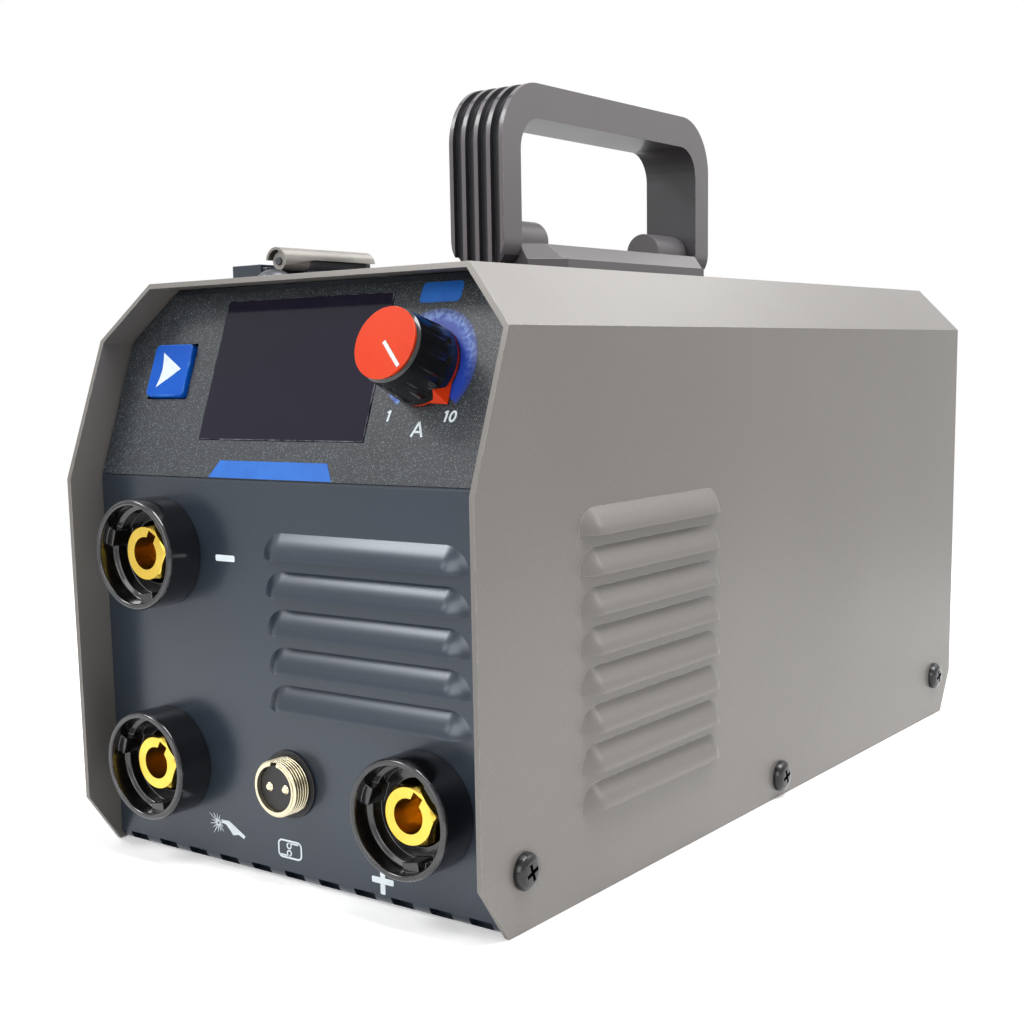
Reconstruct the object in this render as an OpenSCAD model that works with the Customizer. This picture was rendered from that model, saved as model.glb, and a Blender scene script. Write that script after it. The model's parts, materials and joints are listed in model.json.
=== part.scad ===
// Compact portable inverter welder with a small wire drive behind a side door.
// Front faces -Y, +Z up, origin at the middle of the footprint. Millimetres.

/* [Case] */
// width over the two side walls
case_w = 150; // [120:1:200]
// height of the top face above the floor
case_h = 168; // [140:1:220]
// depth from the front edge of the cover to its rear edge
case_d = 318; // [260:1:400]
// run and rise of the sloped strip along each top edge
top_chamfer = 16; // [8:1:24]
// thickness of the sheet steel
sheet = 1.5; // [1:0.1:2]
// distance the cover stands past the front and rear panels
panel_recess = 11.7; // [6:0.1:16]
// height of the sloping control panel, from the fold up to the top face
slope_drop = 56; // [50:1:80]
// lean of the control panel from the vertical
slope_deg = 20.75; // [10:0.25:30]
// height of the clipped lower corners of the cover
foot_rise = 15.5; // [8:0.5:24]
// run of the clipped lower front corners
foot_run = 11; // [6:0.5:16]
// run of the clipped lower rear corners
rear_foot_run = 9; // [6:0.5:16]
// gap between a moving sheet and its opening
door_gap = 0.8; // [0.5:0.1:1.5]

/* [Louvres] */
// number of louvres in the right wall
side_louvres = 8; // [4:1:10]
// length of a side louvre
side_louvre_len = 76; // [50:1:100]
// height of a side louvre hood above its lip
louvre_rise = 7.2; // [5:0.1:9]
// distance a louvre lip stands out of its sheet
louvre_out = 3.2; // [2:0.1:5]
// spacing of the side louvres
side_louvre_pitch = 10.6; // [9:0.1:14]
// height of the lowest side louvre lip
side_louvre_z = 24; // [18:1:40]
// middle of the side louvres behind the front edge of the cover
side_louvre_back = 82.5; // [50:0.5:160]
// number of louvres in the front panel
front_louvres = 5; // [3:1:6]
// length of a front louvre
front_louvre_len = 71; // [40:1:80]
// middle of the front louvres across the width
front_louvre_x = 28.7; // [0:0.1:40]
// height of the lowest front louvre lip above the lower sockets
front_louvre_over = 20.4; // [18:0.1:30]
// distance of the highest front louvre lip below the fold
front_louvre_under = 20.6; // [14:0.1:30]
// gap between one front louvre and the next
front_louvre_gap = 3.3; // [2:0.1:5]

/* [Sockets] */
// distance of the power sockets from the middle plane
socket_x = 48; // [40:0.5:55]
// height of the lower power sockets
socket_z = 29; // [22:0.5:36]
// distance of the upper power socket below the fold
socket_top_drop = 21; // [18:0.5:40]
// outer diameter of a socket collar
collar_d = 32; // [26:0.5:36]
// bore of the brass contact for a 9 mm plug pin
contact_bore_d = 9.5; // [9.2:0.1:10]
// distance the brass sits behind the collar rim
contact_set_back = 5; // [3:0.5:7]
// thread diameter of the control connector
control_d = 16; // [12:1:20]
// height of the control connector
control_z = 28.5; // [22:0.5:36]
// distance the control connector stands out
control_out = 6.6; // [5:0.1:10]

/* [Control panel] */
// display window width
window_w = 62.4; // [50:0.1:70]
// display window height along the slope
window_h = 41.6; // [30:0.1:46]
// middle of the window across the width
window_x = -3.5; // [-10:0.1:10]
// middle of the window up the slope
window_s = 32.6; // [25:0.1:35]
// side of the square mode button
button_w = 16; // [10:0.5:20]
// middle of the mode button across the width
button_x = -52.3; // [-60:0.1:-40]
// press of the mode button
button_travel = 0.8; // [0.4:0.1:1.5]
// middle of the current knob across the width
knob_x = 43.3; // [35:0.1:55]
// middle of the knob and the button up the slope
knob_s = 32.4; // [25:0.1:36]
// diameter of the knob at its face
knob_d = 20; // [16:0.5:26]
// height of the knob above the panel
knob_h = 17.8; // [12:0.1:22]
// reach of the knob pointer from the knob axis
pointer_r = 14.3; // [12:0.1:18]
// direction of the pointer as drawn, from the panel's right
pointer_deg = -46; // [-90:1:0]

/* [Handle] */
// width of the handle band
band_w = 20.7; // [16:0.1:30]
// outer face of the front leg, from the middle of the depth
handle_y0 = -56; // [-80:1:-40]
// outer face of the rear leg, from the middle of the depth
handle_y1 = 73.5; // [60:0.5:100]
// height of the handle over the top face
handle_rise = 61; // [50:0.5:80]
// thickness of the handle legs
leg_t = 9.6; // [7:0.1:12]
// thickness of the grip bar
grip_t = 10.6; // [8:0.1:14]
// height of the fold axis over the top face
fold_rise = 13.4; // [12:0.1:18]
// diameter of the fold pins
fold_pin_d = 6; // [4:0.5:8]
// running clearance of a pin in its hole, radial
run_fit = 0.06; // [0.02:0.01:0.1]
// number of grip grooves
groove_count = 4; // [2:1:6]
// spacing of the grip grooves
groove_pitch = 4.8; // [4:0.1:7]
// width of a grip groove
groove_w = 3.3; // [2:0.1:4]
// half width of the handle base
base_half_w = 20; // [16:0.5:26]

/* [Door and latch] */
// front edge of the door opening, behind the front panel
door_front = 29.3; // [24:0.1:60]
// rear edge of the door opening, ahead of the rear panel
door_rear = 25.3; // [20:0.1:60]
// lower edge of the door opening
door_z0 = 14.6; // [12:0.1:24]
// upper edge of the door opening, below the top face
door_drop = 19.2; // [18:0.1:40]
// front end of the latch lever, behind the front edge of the cover
latch_back = 55; // [48:0.5:90]
// length of the rolled latch lever
latch_len = 41; // [30:0.5:60]
// outer radius of the rolled latch lever
latch_r = 4.15; // [3.6:0.05:6]
// thickness of the latch lever's sheet
latch_t = 0.8; // [0.5:0.1:1]
// distance of the latch pin inside the left wall
latch_in = 34.8; // [30:0.1:45]
// height of the latch pin over the top face
latch_rise = 6.9; // [6:0.1:10]
// radius of the latch pin
latch_pin_r = 1.2; // [1:0.1:1.4]

/* [Wire drive] */
// wire path across the width, in line with the lower left socket
wire_x = -48; // [-52:0.5:-40]
// distance of the drive roll behind the front panel
roll_back = 81.3; // [75:0.1:100]
// radius of the drive roll
drive_r = 11; // [9:0.5:15]
// radius of the pressure roll
press_r = 9.5; // [8:0.5:12]
// gap between the two rolls for the wire
roll_gap = 0.6; // [0.4:0.1:1]
// height of the spool hub
hub_z = 90; // [80:1:100]
// distance of the spool hub ahead of the rear panel
hub_ahead = 81.3; // [70:0.1:100]
// diameter of the spool hub for a 16 mm spool bore
hub_d = 15.6; // [15:0.1:16]
// length of the spool hub for a 45 mm wide spool
hub_len = 47; // [40:1:55]

/* [Rear] */
// side of the square fan
fan_size = 80; // [60:10:92]
// gap between the fan and the right wall of the cover
fan_gap = 3.5; // [2:0.5:10]
// gap between the fan and the top of the cover
fan_top_gap = 20.5; // [16:0.5:40]
// middle of the power switch across the width
switch_x = 8; // [0:1:20]
// height of the power switch and of the cable gland
inlet_z = 34; // [25:1:40]
// middle of the cable gland across the width
gland_x = 50; // [40:1:55]
// bore of the cable gland
gland_bore_d = 9; // [7:0.5:12]

/* [Hidden] */
$fn = 48;
e = 0.01;
hw = case_w/2;
yf = -case_d/2;
yr = case_d/2;
yp = yf + panel_recess;          // outer face of the front panel
yb = yr - panel_recess;          // outer face of the rear panel
bend_z = case_h - slope_drop;     // height at which the front panel folds back
slope_run = slope_drop*tan(slope_deg);
socket_top_z = bend_z - socket_top_drop;
front_louvre_z = socket_z + front_louvre_over;
front_louvre_pitch = (bend_z - front_louvre_under - front_louvre_z)/(front_louvres - 1);
front_louvre_rise = front_louvre_pitch - front_louvre_gap;
socket_xz = [[-socket_x, socket_top_z], [-socket_x, socket_z], [socket_x, socket_z]];
screw_yz = [[yf + 18, 16], [4, 7], [yr - 18, 16]];
overlay_t = 0.6;
contact_r = 8.9;
contact_back = 18;               // rear face of a contact behind the panel
contact_nose = panel_recess - contact_set_back;
slot_pitch = 13.1;
slot_count = 11;
hinge_z = 13.6;
barrel_r = 1.6;
hinge_x = -hw - barrel_r;
hinge_pin_r = 0.8;
side_louvre_y = yf + side_louvre_back;
door_y0 = yp + door_front;
door_y1 = yb - door_rear;
door_z1 = case_h - door_drop;
hinge_y = [door_y0 + 48, door_y1 - 50];
knuckle = 10;
fold_gap = 0.3;
band = band_w/2;
handle_top = case_h + handle_rise;
fold_z = case_h + fold_rise;
deck_z = case_h + 7;
deck_top = case_h + 11.7;
knuckle_r = 6.6;
handle_screw_y = [-10, 28];
leg_y0 = handle_y0 + leg_t;      // inner face of the front leg
leg_y1 = handle_y1 - leg_t;      // inner face of the rear leg
divider_x = -14;
divider_y0 = yp + 19.3;          // front edge, clear of the display board
divider_y1 = yb - sheet - 27;     // rear edge, ahead of the fan
divider_top = case_h - 8.5;
fan_bolt = fan_size*0.447;
fan_x = hw - sheet - fan_gap - fan_size/2;
fan_z = case_h - sheet - fan_top_gap - fan_size/2;
roll_y = yp + roll_back;
hub_y = yb - hub_ahead;
latch_y0 = yf + latch_back;
latch_y1 = latch_y0 + latch_len;
latch_x = -hw + latch_in;
latch_z = case_h + latch_rise;
latch_in_r = latch_r - latch_t;   // inside of the rolled lever
barrel = latch_in_r - 0.75;       // knuckles round the latch pin
front_lip = 10;                   // front panel's return under the case
board_n = -12;                   // back of the display board, below the panel face
wire_z = socket_z;
drive_z = wire_z - roll_gap/2 - drive_r;
press_z = wire_z + roll_gap/2 + press_r;
arm_y = roll_y - 22;
arm_z = press_z + 4;
arm_pin_r = 2.5;
axle_r = 2;
tension_reach = 43;
board_z = 20;
board_x = [divider_x + 8, hw - 5];
board_y = [yp + 52.3, yb - 62.3];
fan_y = yb - sheet - 25;
rocker_pivot = -1;               // rocker axis below the panel face
rocker_tilt = 11;

// depth of the control panel's outer face at a height
function slope_y(z) = yp + (z - bend_z)*tan(slope_deg);

// ---- placing helpers: local X across, local Y up the face, local Z out of it
module on_front(x, z) translate([x, yp, z]) rotate([90, 0, 0]) children();
module on_slope(x, s) translate([0, yp, bend_z]) rotate([90 - slope_deg, 0, 0]) translate([x, s, 0]) children();
module on_rear(x, z) translate([x, yb, z]) rotate([90, 0, 180]) children();
module on_right(y, z) translate([hw, y, z]) rotate([90, 0, 90]) children();
module on_left(y, z) translate([-hw, y, z]) rotate([90, 0, -90]) children();
module along_y(len) rotate([90, 0, 0]) linear_extrude(len, center = true) children();
module along_x(len) rotate([90, 0, 90]) linear_extrude(len, center = true) children();
module y_cyl(r, y0, y1, x, z) translate([x, y1, z]) rotate([90, 0, 0]) cylinder(r = r, h = y1 - y0);
module x_cyl(r, x0, x1, y, z) translate([x0, y, z]) rotate([0, 90, 0]) cylinder(r = r, h = x1 - x0);

// rectangle with true round corners, centred
module round_rect(w, h, r) {
  square([w - 2*r, h], center = true);
  square([w, h - 2*r], center = true);
  for (a = [-1, 1], b = [-1, 1]) translate([a*(w/2 - r), b*(h/2 - r)]) circle(r);
}

// front outline of the case, moved inward by inset
module outline(inset, low) {
  k = inset*tan(22.5);
  polygon([[-hw + inset, low], [-hw + inset, case_h - top_chamfer - k], [-hw + top_chamfer + k, case_h - inset],
    [hw - top_chamfer - k, case_h - inset], [hw - inset, case_h - top_chamfer - k], [hw - inset, low]]);
}

// side outline of the cover
module side_outline() polygon([[yf + foot_run, 0], [yf, foot_rise], [yf, bend_z], [yf + slope_run, case_h],
  [yr, case_h], [yr, foot_rise], [yr - rear_foot_run, 0]]);

// pressed hood: its section in height and reach, then its body with swept quarter-round ends
function hood_reach(h, rise, t) = (louvre_out - t)*pow(1 - pow(h/(rise - 1.5*t), 2), 1.15);
module hood_section(rise, t) {
  top = rise - 1.5*t;
  polygon(concat([[0, -sheet], [top, -sheet]], [for (i = [12:-1:0]) [top*i/12, hood_reach(top*i/12, rise, t)]]));
}
module hood(len, rise, t) {
  m = len - 2*rise;
  along_x(m) hood_section(rise, t);
  translate([m/2, 0, 0]) rotate_extrude(angle = 90) hood_section(rise, t);
  translate([-m/2, 0, 0]) rotate([0, 0, 90]) rotate_extrude(angle = 90) hood_section(rise, t);
}
// plan of a hood, drawn in by k, from the level of its lip
module hood_plan(len, rise, k) {
  m = len - 2*rise;
  translate([-m/2, 0]) square([m, rise - k]);
  for (s = [-1, 1]) intersection() {
    translate([s*m/2, 0]) circle(rise - k);
    translate([s > 0 ? m/2 - 1 : -m/2 - rise, 0]) square([rise + 1, rise]);
  }
}
module louvre(len, rise) difference() {
  hood(len, rise, 0);
  hood(len, rise, 1.1);
  translate([0, 0, -sheet - 1]) linear_extrude(1) hood_plan(len, rise, 0);
  translate([0, 0, -sheet - e]) linear_extrude(sheet + e) hood_plan(len, rise, 2.6);
}
module louvre_slot(len, rise) translate([0, 0, -sheet - e]) linear_extrude(sheet + 2*e) hood_plan(len, rise, 2.6);

module side_louvre_places() for (i = [0:side_louvres - 1])
  on_right(side_louvre_y, side_louvre_z + i*side_louvre_pitch) children();
module front_louvre_places() for (i = [0:front_louvres - 1])
  on_front(front_louvre_x, front_louvre_z + i*front_louvre_pitch) children();

// ---- case
module cover() color("#98928b") {
  difference() {
    intersection() {
      along_y(case_d + 2) difference() { outline(0, 0); outline(sheet, -1); }
      along_x(case_w + 20) side_outline();
    }
    side_louvre_places() louvre_slot(side_louvre_len, louvre_rise);
    for (s = [-1, 1], p = screw_yz) x_cyl(2.6, s*hw - 3, s*hw + 3, p[0], p[1]);
    translate([-hw - 1, door_y0, door_z0]) cube([sheet + 2, door_y1 - door_y0, door_z1 - door_z0]);
    for (y = handle_screw_y) translate([0, y, case_h - 3]) cylinder(r = 2.6, h = 6);
  }
  side_louvre_places() louvre(side_louvre_len, louvre_rise);
}

// bent sheet: control panel, upright front and a short return under the case
module front_section() {
  k = sheet*tan(slope_deg/2);
  translate([yp, 3]) square([sheet, bend_z - 3]);
  translate([yp + 3, 0]) square([front_lip - 3, sheet]);
  intersection() {
    translate([yp + 3, 3]) difference() { circle(3); circle(3 - sheet); }
    translate([yp, 0]) square([3, 3]);
  }
  polygon([[yp, bend_z - e], [yp + sheet, bend_z - e], [yp + sheet, bend_z - k],
    [slope_y(case_h - sheet - 0.3) + sheet/cos(slope_deg), case_h - sheet - 0.3], [slope_y(case_h - sheet - 0.3), case_h - sheet - 0.3]]);
}
module front_panel() color("#4b4e58") {
  difference() {
    intersection() {
      along_x(case_w - 2*sheet - 0.2) front_section();
      along_y(case_d) outline(sheet + 0.1, 0);
    }
    for (i = [0:slot_count - 1]) translate([(i - (slot_count - 1)/2)*slot_pitch - 3.7, yp - 1, 0.6]) cube([7.4, 4.5, 2.2]);
    front_louvre_places() louvre_slot(front_louvre_len, front_louvre_rise);
    for (p = socket_xz) on_front(p[0], p[1]) translate([0, 0, -5]) cylinder(r = 11.2, h = 10);
    on_front(0, control_z) translate([0, 0, -5]) cylinder(r = control_d/2 + 0.15, h = 10);
    on_slope(window_x, window_s) cube([window_w - 6, window_h - 6, 8], center = true);
    on_slope(button_x, knob_s) cube([button_w + 0.8, button_w + 0.8, 8], center = true);
    on_slope(knob_x, knob_s) translate([0, 0, -5]) cylinder(r = 3.6, h = 10);
  }
  front_louvre_places() louvre(front_louvre_len, front_louvre_rise);
}
// floor with two upright flanges that the cover is screwed to
module base_tray() color("#4b4e58") difference() {
  union() {
    translate([-hw + sheet + 0.1, yp + front_lip + 0.05, 0]) cube([case_w - 2*sheet - 0.2, yb - yp - front_lip - sheet - 0.1, sheet]);
    translate([hw - 2*sheet - 0.1, yp + front_lip + 0.05, 0]) cube([sheet, yb - yp - front_lip - sheet - 0.25, 24]);
    translate([-hw + sheet + 0.1, yp + front_lip + 0.05, 0]) cube([sheet, yb - yp - front_lip - sheet - 0.25, door_z0 - 1.2]);
    for (y = [[yp + front_lip + 0.05, door_y0 - 2], [door_y1 + 2, yb - sheet - 0.2]])
      translate([-hw + sheet + 0.1, y[0], 0]) cube([sheet, y[1] - y[0], 24]);
  }
  for (s = [-1, 1], p = screw_yz) x_cyl(2.6, s*(hw - 3) - 2, s*(hw - 3) + 2, p[0], p[1]);
  for (i = [0:6], x = [-40, 32]) translate([x, -84 + i*12, -1]) linear_extrude(4) round_rect(30, 4, 1.9);
}

module rear_panel() color("#4b4e58") difference() {
  union() {
    intersection() {
      translate([0, yb - sheet/2, 0]) along_y(sheet) outline(sheet + 0.1, sheet + 0.1);
      translate([-hw, 0, sheet + 0.1]) cube([case_w, case_d, case_h]);
    }
    translate([-hw + 5, yb - 14, sheet]) cube([case_w - 10, 14, sheet]);
  }
  on_rear(fan_x, fan_z) translate([0, 0, -5]) cylinder(r = fan_size/2 - 3, h = 10);
  on_rear(fan_x, fan_z) for (a = [-1, 1], b = [-1, 1]) translate([a*fan_bolt, b*fan_bolt, -5]) cylinder(r = 2.2, h = 10);
  on_rear(switch_x, inlet_z) cube([27.4, 20.4, 10], center = true);
  on_rear(gland_x, inlet_z) translate([0, 0, -5]) cylinder(r = 8.1, h = 10);
  on_rear(-30, 26) translate([0, 0, -5]) cylinder(r = 3.1, h = 10);
  for (i = [0:5]) on_rear(-62 + i*8, 100) translate([0, 0, -3]) linear_extrude(6) round_rect(3.6, 60, 1.75);
}

module divider() color("#b9bcc0") difference() {
  union() {
    translate([divider_x + sheet/2, 0, 0]) along_x(sheet) polygon([[divider_y0, sheet], [divider_y0, bend_z], [slope_y(divider_top) + divider_y0 - yp, divider_top],
      [divider_y1, divider_top], [divider_y1, sheet]]);
    translate([divider_x - 12, divider_y0, sheet]) cube([12 + sheet, divider_y1 - divider_y0, sheet]);
  }
  x_cyl(6.1, divider_x - 2, divider_x + 4, hub_y, hub_z);
  x_cyl(9.1, divider_x - 2, divider_x + 4, roll_y, drive_z);
  x_cyl(9, divider_x - 2, divider_x + 4, divider_y0 + 16, 60);
}

// ---- control panel
module panel_overlay() color("#2b2c30") difference() {
  intersection() {
    on_slope(0, 0) translate([-hw, 0.8, 0]) cube([case_w, 55.4, overlay_t]);
    along_y(case_d) outline(sheet + 0.6, 0);
  }
  on_slope(window_x, window_s) cube([window_w, window_h, 8], center = true);
  on_slope(button_x, knob_s) cube([button_w + 0.8, button_w + 0.8, 8], center = true);
  on_slope(knob_x, knob_s) translate([0, 0, -5]) cylinder(r = 6.2, h = 10);
}
module display_window() color("#26242e") on_slope(window_x, window_s) {
  linear_extrude(0.9) round_rect(window_w - 0.2, window_h - 0.2, 0.8);
  translate([0, 0, -sheet]) linear_extrude(sheet + e) square([window_w - 6.4, window_h - 6.4], center = true);
}
module display_board() color("#1d5a3c") difference() {
  union() {
    on_slope(window_x, window_s) translate([-36, -23, board_n]) cube([72, 46, 1.6]);
    on_slope(button_x, knob_s) translate([-9, -12, board_n]) cube([window_x - button_x - 20, 24, 1.6]);
    on_slope(window_x, window_s) {
      translate([-25, -14, board_n + 1.6 - e]) cube([50, 28, -board_n - 1.6 - sheet - 0.3]);
      for (a = [-1, 1], b = [-1, 1]) translate([a*33, b*20, board_n + 1.6 - e]) cylinder(r = 2.6, h = -board_n - 1.6 - sheet + e);
    }
  }
  on_slope(window_x, window_s) for (a = [-1, 1], b = [-1, 1]) translate([a*33, b*20, board_n - 1]) cylinder(r = 1.2, h = 8);
}
module mode_button() color("#2a78ee") on_slope(button_x, knob_s) difference() {
  union() {
    translate([0, 0, -3.4]) linear_extrude(5.4) round_rect(button_w, button_w, 1.8);
    translate([0, 0, -3.4]) linear_extrude(1.4) round_rect(button_w + 3, button_w + 3, 1.8);
  }
  translate([0, 0, 22 + 1.75]) sphere(r = 22, $fn = 96);
}
module button_switch() color("#202022") on_slope(button_x, knob_s) {
  translate([-6, -6, board_n + 1.6]) cube([12, 12, 4.6]);
  translate([0, 0, board_n + 6.2 - e]) cylinder(r = 2.4, h = -3.4 - button_travel - 0.3 - board_n - 6.2 + e);
}
// ribbed conical knob with a stepped face
// outside of the knob: its radius at the face and at the foot
knob_face_r = knob_d/2 - 0.2;
knob_foot_r = knob_d/2 + 1;
knob_foot = 2.1;                 // height of the foot over the control panel
module knob_body() color("#17181a") on_slope(knob_x, knob_s) difference() {
  rotate_extrude($fn = 120) polygon([[0, 5], [0, knob_h - 1.4], [knob_face_r - 0.7, knob_h - 1.4], [knob_face_r, knob_h - 2], [knob_foot_r, knob_foot],
    [knob_d/2 - 1, knob_foot - 0.1], [knob_d/2 - 1, 1.0], [knob_d/2 - 3, 1.0], [knob_d/2 - 3, 5]]);
  for (i = [0:11]) rotate([0, 0, i*30 + pointer_deg + 15]) translate([knob_d/2 + 1.2, 0, 4]) cylinder(r = 1.3, h = knob_h);
  translate([0, 0, 4]) cylinder(r = 3.05, h = 9);
}
module knob_cap() color("#f4592e") on_slope(knob_x, knob_s) difference() {
  translate([0, 0, knob_h - 1.4]) cylinder(r1 = knob_d/2 - 0.9, r2 = knob_d/2 - 0.4, h = 1.4);
  rotate([0, 0, pointer_deg]) translate([-0.6, -0.55, knob_h - 0.5]) cube([knob_d/2 - 0.8, 1.1, 1]);
}
// ring under the knob with a ridged pointer that leans on the knob's wall
module knob_skirt() color("#f4592e") on_slope(knob_x, knob_s) difference() {
  union() {
    translate([0, 0, 1.0]) cylinder(r = knob_d/2 + 0.8, h = knob_foot - 1.1);
    rotate([0, 0, pointer_deg]) polyhedron(points = [[8, -5.9, 1], [8, 5.9, 1], [pointer_r, 0, 1], [8, 0, 8.4]],
      faces = [[2, 1, 0], [1, 3, 0], [2, 3, 1], [0, 3, 2]]);
  }
  translate([0, 0, 0]) cylinder(r = knob_d/2 - 1, h = 4);
  rotate_extrude($fn = 120) polygon([[0, knob_foot - 0.1], [knob_d/2, knob_foot - 0.1], [knob_foot_r + 0.05, knob_foot - 0.05],
    [knob_face_r + 0.05, knob_h - 2], [0, knob_h - 2]]);
}
module potentiometer() color("#8d9094") on_slope(knob_x, knob_s) difference() {
  union() {
    translate([0, 0, -11.5]) cylinder(r = 8, h = 9.5);
    translate([0, 0, -2 - e]) cylinder(r = 3.5, h = 6);
    cylinder(r = 5.8, h = 2, $fn = 6);
    for (x = [-5, 0, 5]) translate([x - 0.9, -13, -6]) cube([1.8, 7, 0.6]);
  }
  translate([0, 0, -8]) cylinder(r = 3 + run_fit, h = 14);
}
module pot_shaft() color("#c9ccd0") on_slope(knob_x, knob_s) translate([0, 0, -7.6]) cylinder(r = 3, h = 7.6 + 12.6);

// ---- sockets
module socket_collars() color("#141416") for (p = socket_xz) on_front(p[0], p[1]) difference() {
  union() {
    rotate_extrude() polygon([[0, 0], [collar_d/2, 0], [collar_d/2, panel_recess - 0.8], [collar_d/2 - 0.5, panel_recess], [collar_d/2 - 1.6, panel_recess],
      [collar_d/2 - 1.9, panel_recess - 0.6], [collar_d/2 - 1.9, 6.5], [12.6, 6.0], [12.6, 2.6], [0, 2.6]]);
    translate([0, 0, -9]) cylinder(r = 11, h = 9 + e);
    for (a = [40, 160, 280]) rotate([0, 0, a]) translate([11.4, -2.6, 2]) cube([collar_d/2 - 1 - 11.4, 5.2, panel_recess - 4.6]);
  }
  translate([0, 0, -10]) cylinder(r = contact_r + 0.1, h = 30);
}
// hexagonal brass contact with a chamfered nose, keyed bore, locking groove and a threaded tail
module socket_contacts() color("#d9a93a") for (p = socket_xz) on_front(p[0], p[1]) difference() {
  union() {
    intersection() {
      translate([0, 0, -contact_back]) rotate([0, 0, 8]) cylinder(r = contact_r - 0.12, h = contact_back + contact_nose, $fn = 6);
      union() {
        translate([0, 0, -contact_back]) cylinder(r = contact_r, h = contact_back + contact_nose - 1.1);
        translate([0, 0, contact_nose - 1.1 - e]) cylinder(r1 = contact_r, r2 = contact_r - 1.3, h = 1.1 + e);
      }
    }
    translate([0, 0, -contact_back - 12]) cylinder(r = 5, h = 12 + e);
  }
  translate([0, 0, 4 - contact_back]) cylinder(r = contact_bore_d/2, h = 40);
  rotate([0, 0, 60]) translate([0, -1.6, 6 - contact_back]) cube([contact_bore_d/2 + 2.1, 3.2, 40]);
  translate([0, 0, 6 - contact_back]) cylinder(r = contact_bore_d/2 + 1.6, h = 6);
  translate([0, 0, -contact_back - 13]) cylinder(r = 2.1, h = 8);
}
module socket_nuts() color("#c9a24a") for (p = socket_xz) on_front(p[0], p[1]) difference() {
  union() {
    translate([0, 0, -contact_back - 6.6]) cylinder(r = 9.2, h = 5, $fn = 6);
    translate([0, 0, -contact_back - 1.6 - e]) cylinder(r = 9, h = 1.6);
  }
  translate([0, 0, -contact_back - 13]) cylinder(r = 5, h = 20);
}
module control_shell() color("#cfc6ae") on_front(0, control_z) difference() {
  union() {
    translate([0, 0, -13]) cylinder(r = control_d/2 - 0.9, h = 13 + control_out);
    for (i = [0:5]) translate([0, 0, 0.9 + i*0.95]) rotate_extrude() polygon([[5, 0], [control_d/2 - 0.6, 0], [control_d/2, 0.24], [control_d/2, 0.44], [control_d/2 - 0.6, 0.68], [5, 0.68]]);
    translate([0, 0, -sheet - 3.4]) cylinder(r = 10.6, h = 3.2, $fn = 6);
  }
  translate([0, 0, -14]) cylinder(r = control_d/2 - 1.5, h = 30);
  translate([0, control_d/2 - 2, control_out - 2.2]) cube([2.2, 3, 6], center = true);
}
module control_insert() color("#1a1a1c") on_front(0, control_z) difference() {
  translate([0, 0, -12]) cylinder(r = control_d/2 - 1.55, h = 12 + control_out - 1.6);
  for (x = [-3, 3]) translate([x, 0, -13]) cylinder(r = 1.3, h = 30);
}
module control_pins() color("#d8d2c0") on_front(0, control_z) for (x = [-3, 3]) translate([x, 0, -16]) difference() {
  union() { cylinder(r = 1.3, h = 21.2 + e); translate([0, 0, 21.2]) cylinder(r1 = 1.3, r2 = 0.8, h = 0.5); }
  translate([-0.3, -2, -1]) cube([0.6, 4, 4]);
}
module control_washer() color("#17171a") on_front(0, control_z) difference() {
  cylinder(r = control_d/2 + 1.6, h = 0.85);
  translate([0, 0, -1]) cylinder(r = control_d/2 + 0.05, h = 3);
}
// cross-recess pan head screws
module pan_screw(len) difference() {
  union() {
    rotate_extrude() polygon([[0, 0], [5, 0], [5, 0.9], [4.6, 1.8], [3.6, 2.4], [2, 2.6], [0, 2.6]]);
    translate([0, 0, -len]) cylinder(r = 2.5, h = len + e);
  }
  for (a = [0, 90]) rotate([0, 0, a + 20]) translate([-2.4, -0.55, 1.1]) cube([4.8, 1.1, 3]);
}
module cover_screws() color("#141416") for (p = screw_yz) {
  on_right(p[0], p[1]) pan_screw(7);
  on_left(p[0], p[1]) pan_screw(7);
}

// ---- handle
module handle_outer(grow) {
  r = 19 + grow;
  z0 = fold_z;
  w0 = handle_y0 - grow; w1 = handle_y1 + grow; zt = handle_top + grow;
  translate([w0, z0]) square([w1 - w0, zt - r - z0]);
  translate([w0 + r, z0]) square([w1 - w0 - 2*r, zt - z0]);
  for (y = [w0 + r, w1 - r]) translate([y, zt - r]) circle(r);
}
module handle_window() {
  r = 10.5; zt = handle_top - grip_t;
  translate([leg_y0, fold_z - 1]) square([leg_y1 - leg_y0, zt - r - fold_z + 1]);
  translate([leg_y0 + r, fold_z]) square([leg_y1 - leg_y0 - 2*r, zt - fold_z]);
  for (y = [leg_y0 + r, leg_y1 - r]) translate([y, zt - r]) circle(r);
}
module handle_loop() color("#57544f") difference() {
  union() {
    along_x(band_w) difference() { handle_outer(0); handle_window(); }
    y_cyl(band, handle_y0, leg_y0, 0, fold_z);
    y_cyl(band, leg_y1, handle_y1, 0, fold_z);
  }
  for (i = [0:groove_count - 1]) translate([(i - (groove_count - 1)/2)*groove_pitch, 0, 0]) {
    along_x(groove_w) difference() { handle_outer(3); handle_outer(-1.9); translate([handle_y0 - 5, 0]) square([300, fold_z]); }
    for (y = [handle_y0 - 1, handle_y1 - 1.9]) translate([-groove_w/2, y, fold_z - 14]) cube([groove_w, 2.9, 14 + e]);
  }
  y_cyl(fold_pin_d/2 + run_fit, handle_y0 + 3.4, leg_y0 + 1, 0, fold_z);
  y_cyl(fold_pin_d/2 + run_fit, leg_y1 - 1, handle_y1 - 3.4, 0, fold_z);
}
module base_plan(half, y0, y1, cut) polygon([[-half, y0 + cut], [-half + 0.7*cut, y0], [half - 0.7*cut, y0], [half, y0 + cut],
  [half, y1 - cut], [half - 0.7*cut, y1], [-half + 0.7*cut, y1], [-half, y1 - cut]]);
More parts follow.
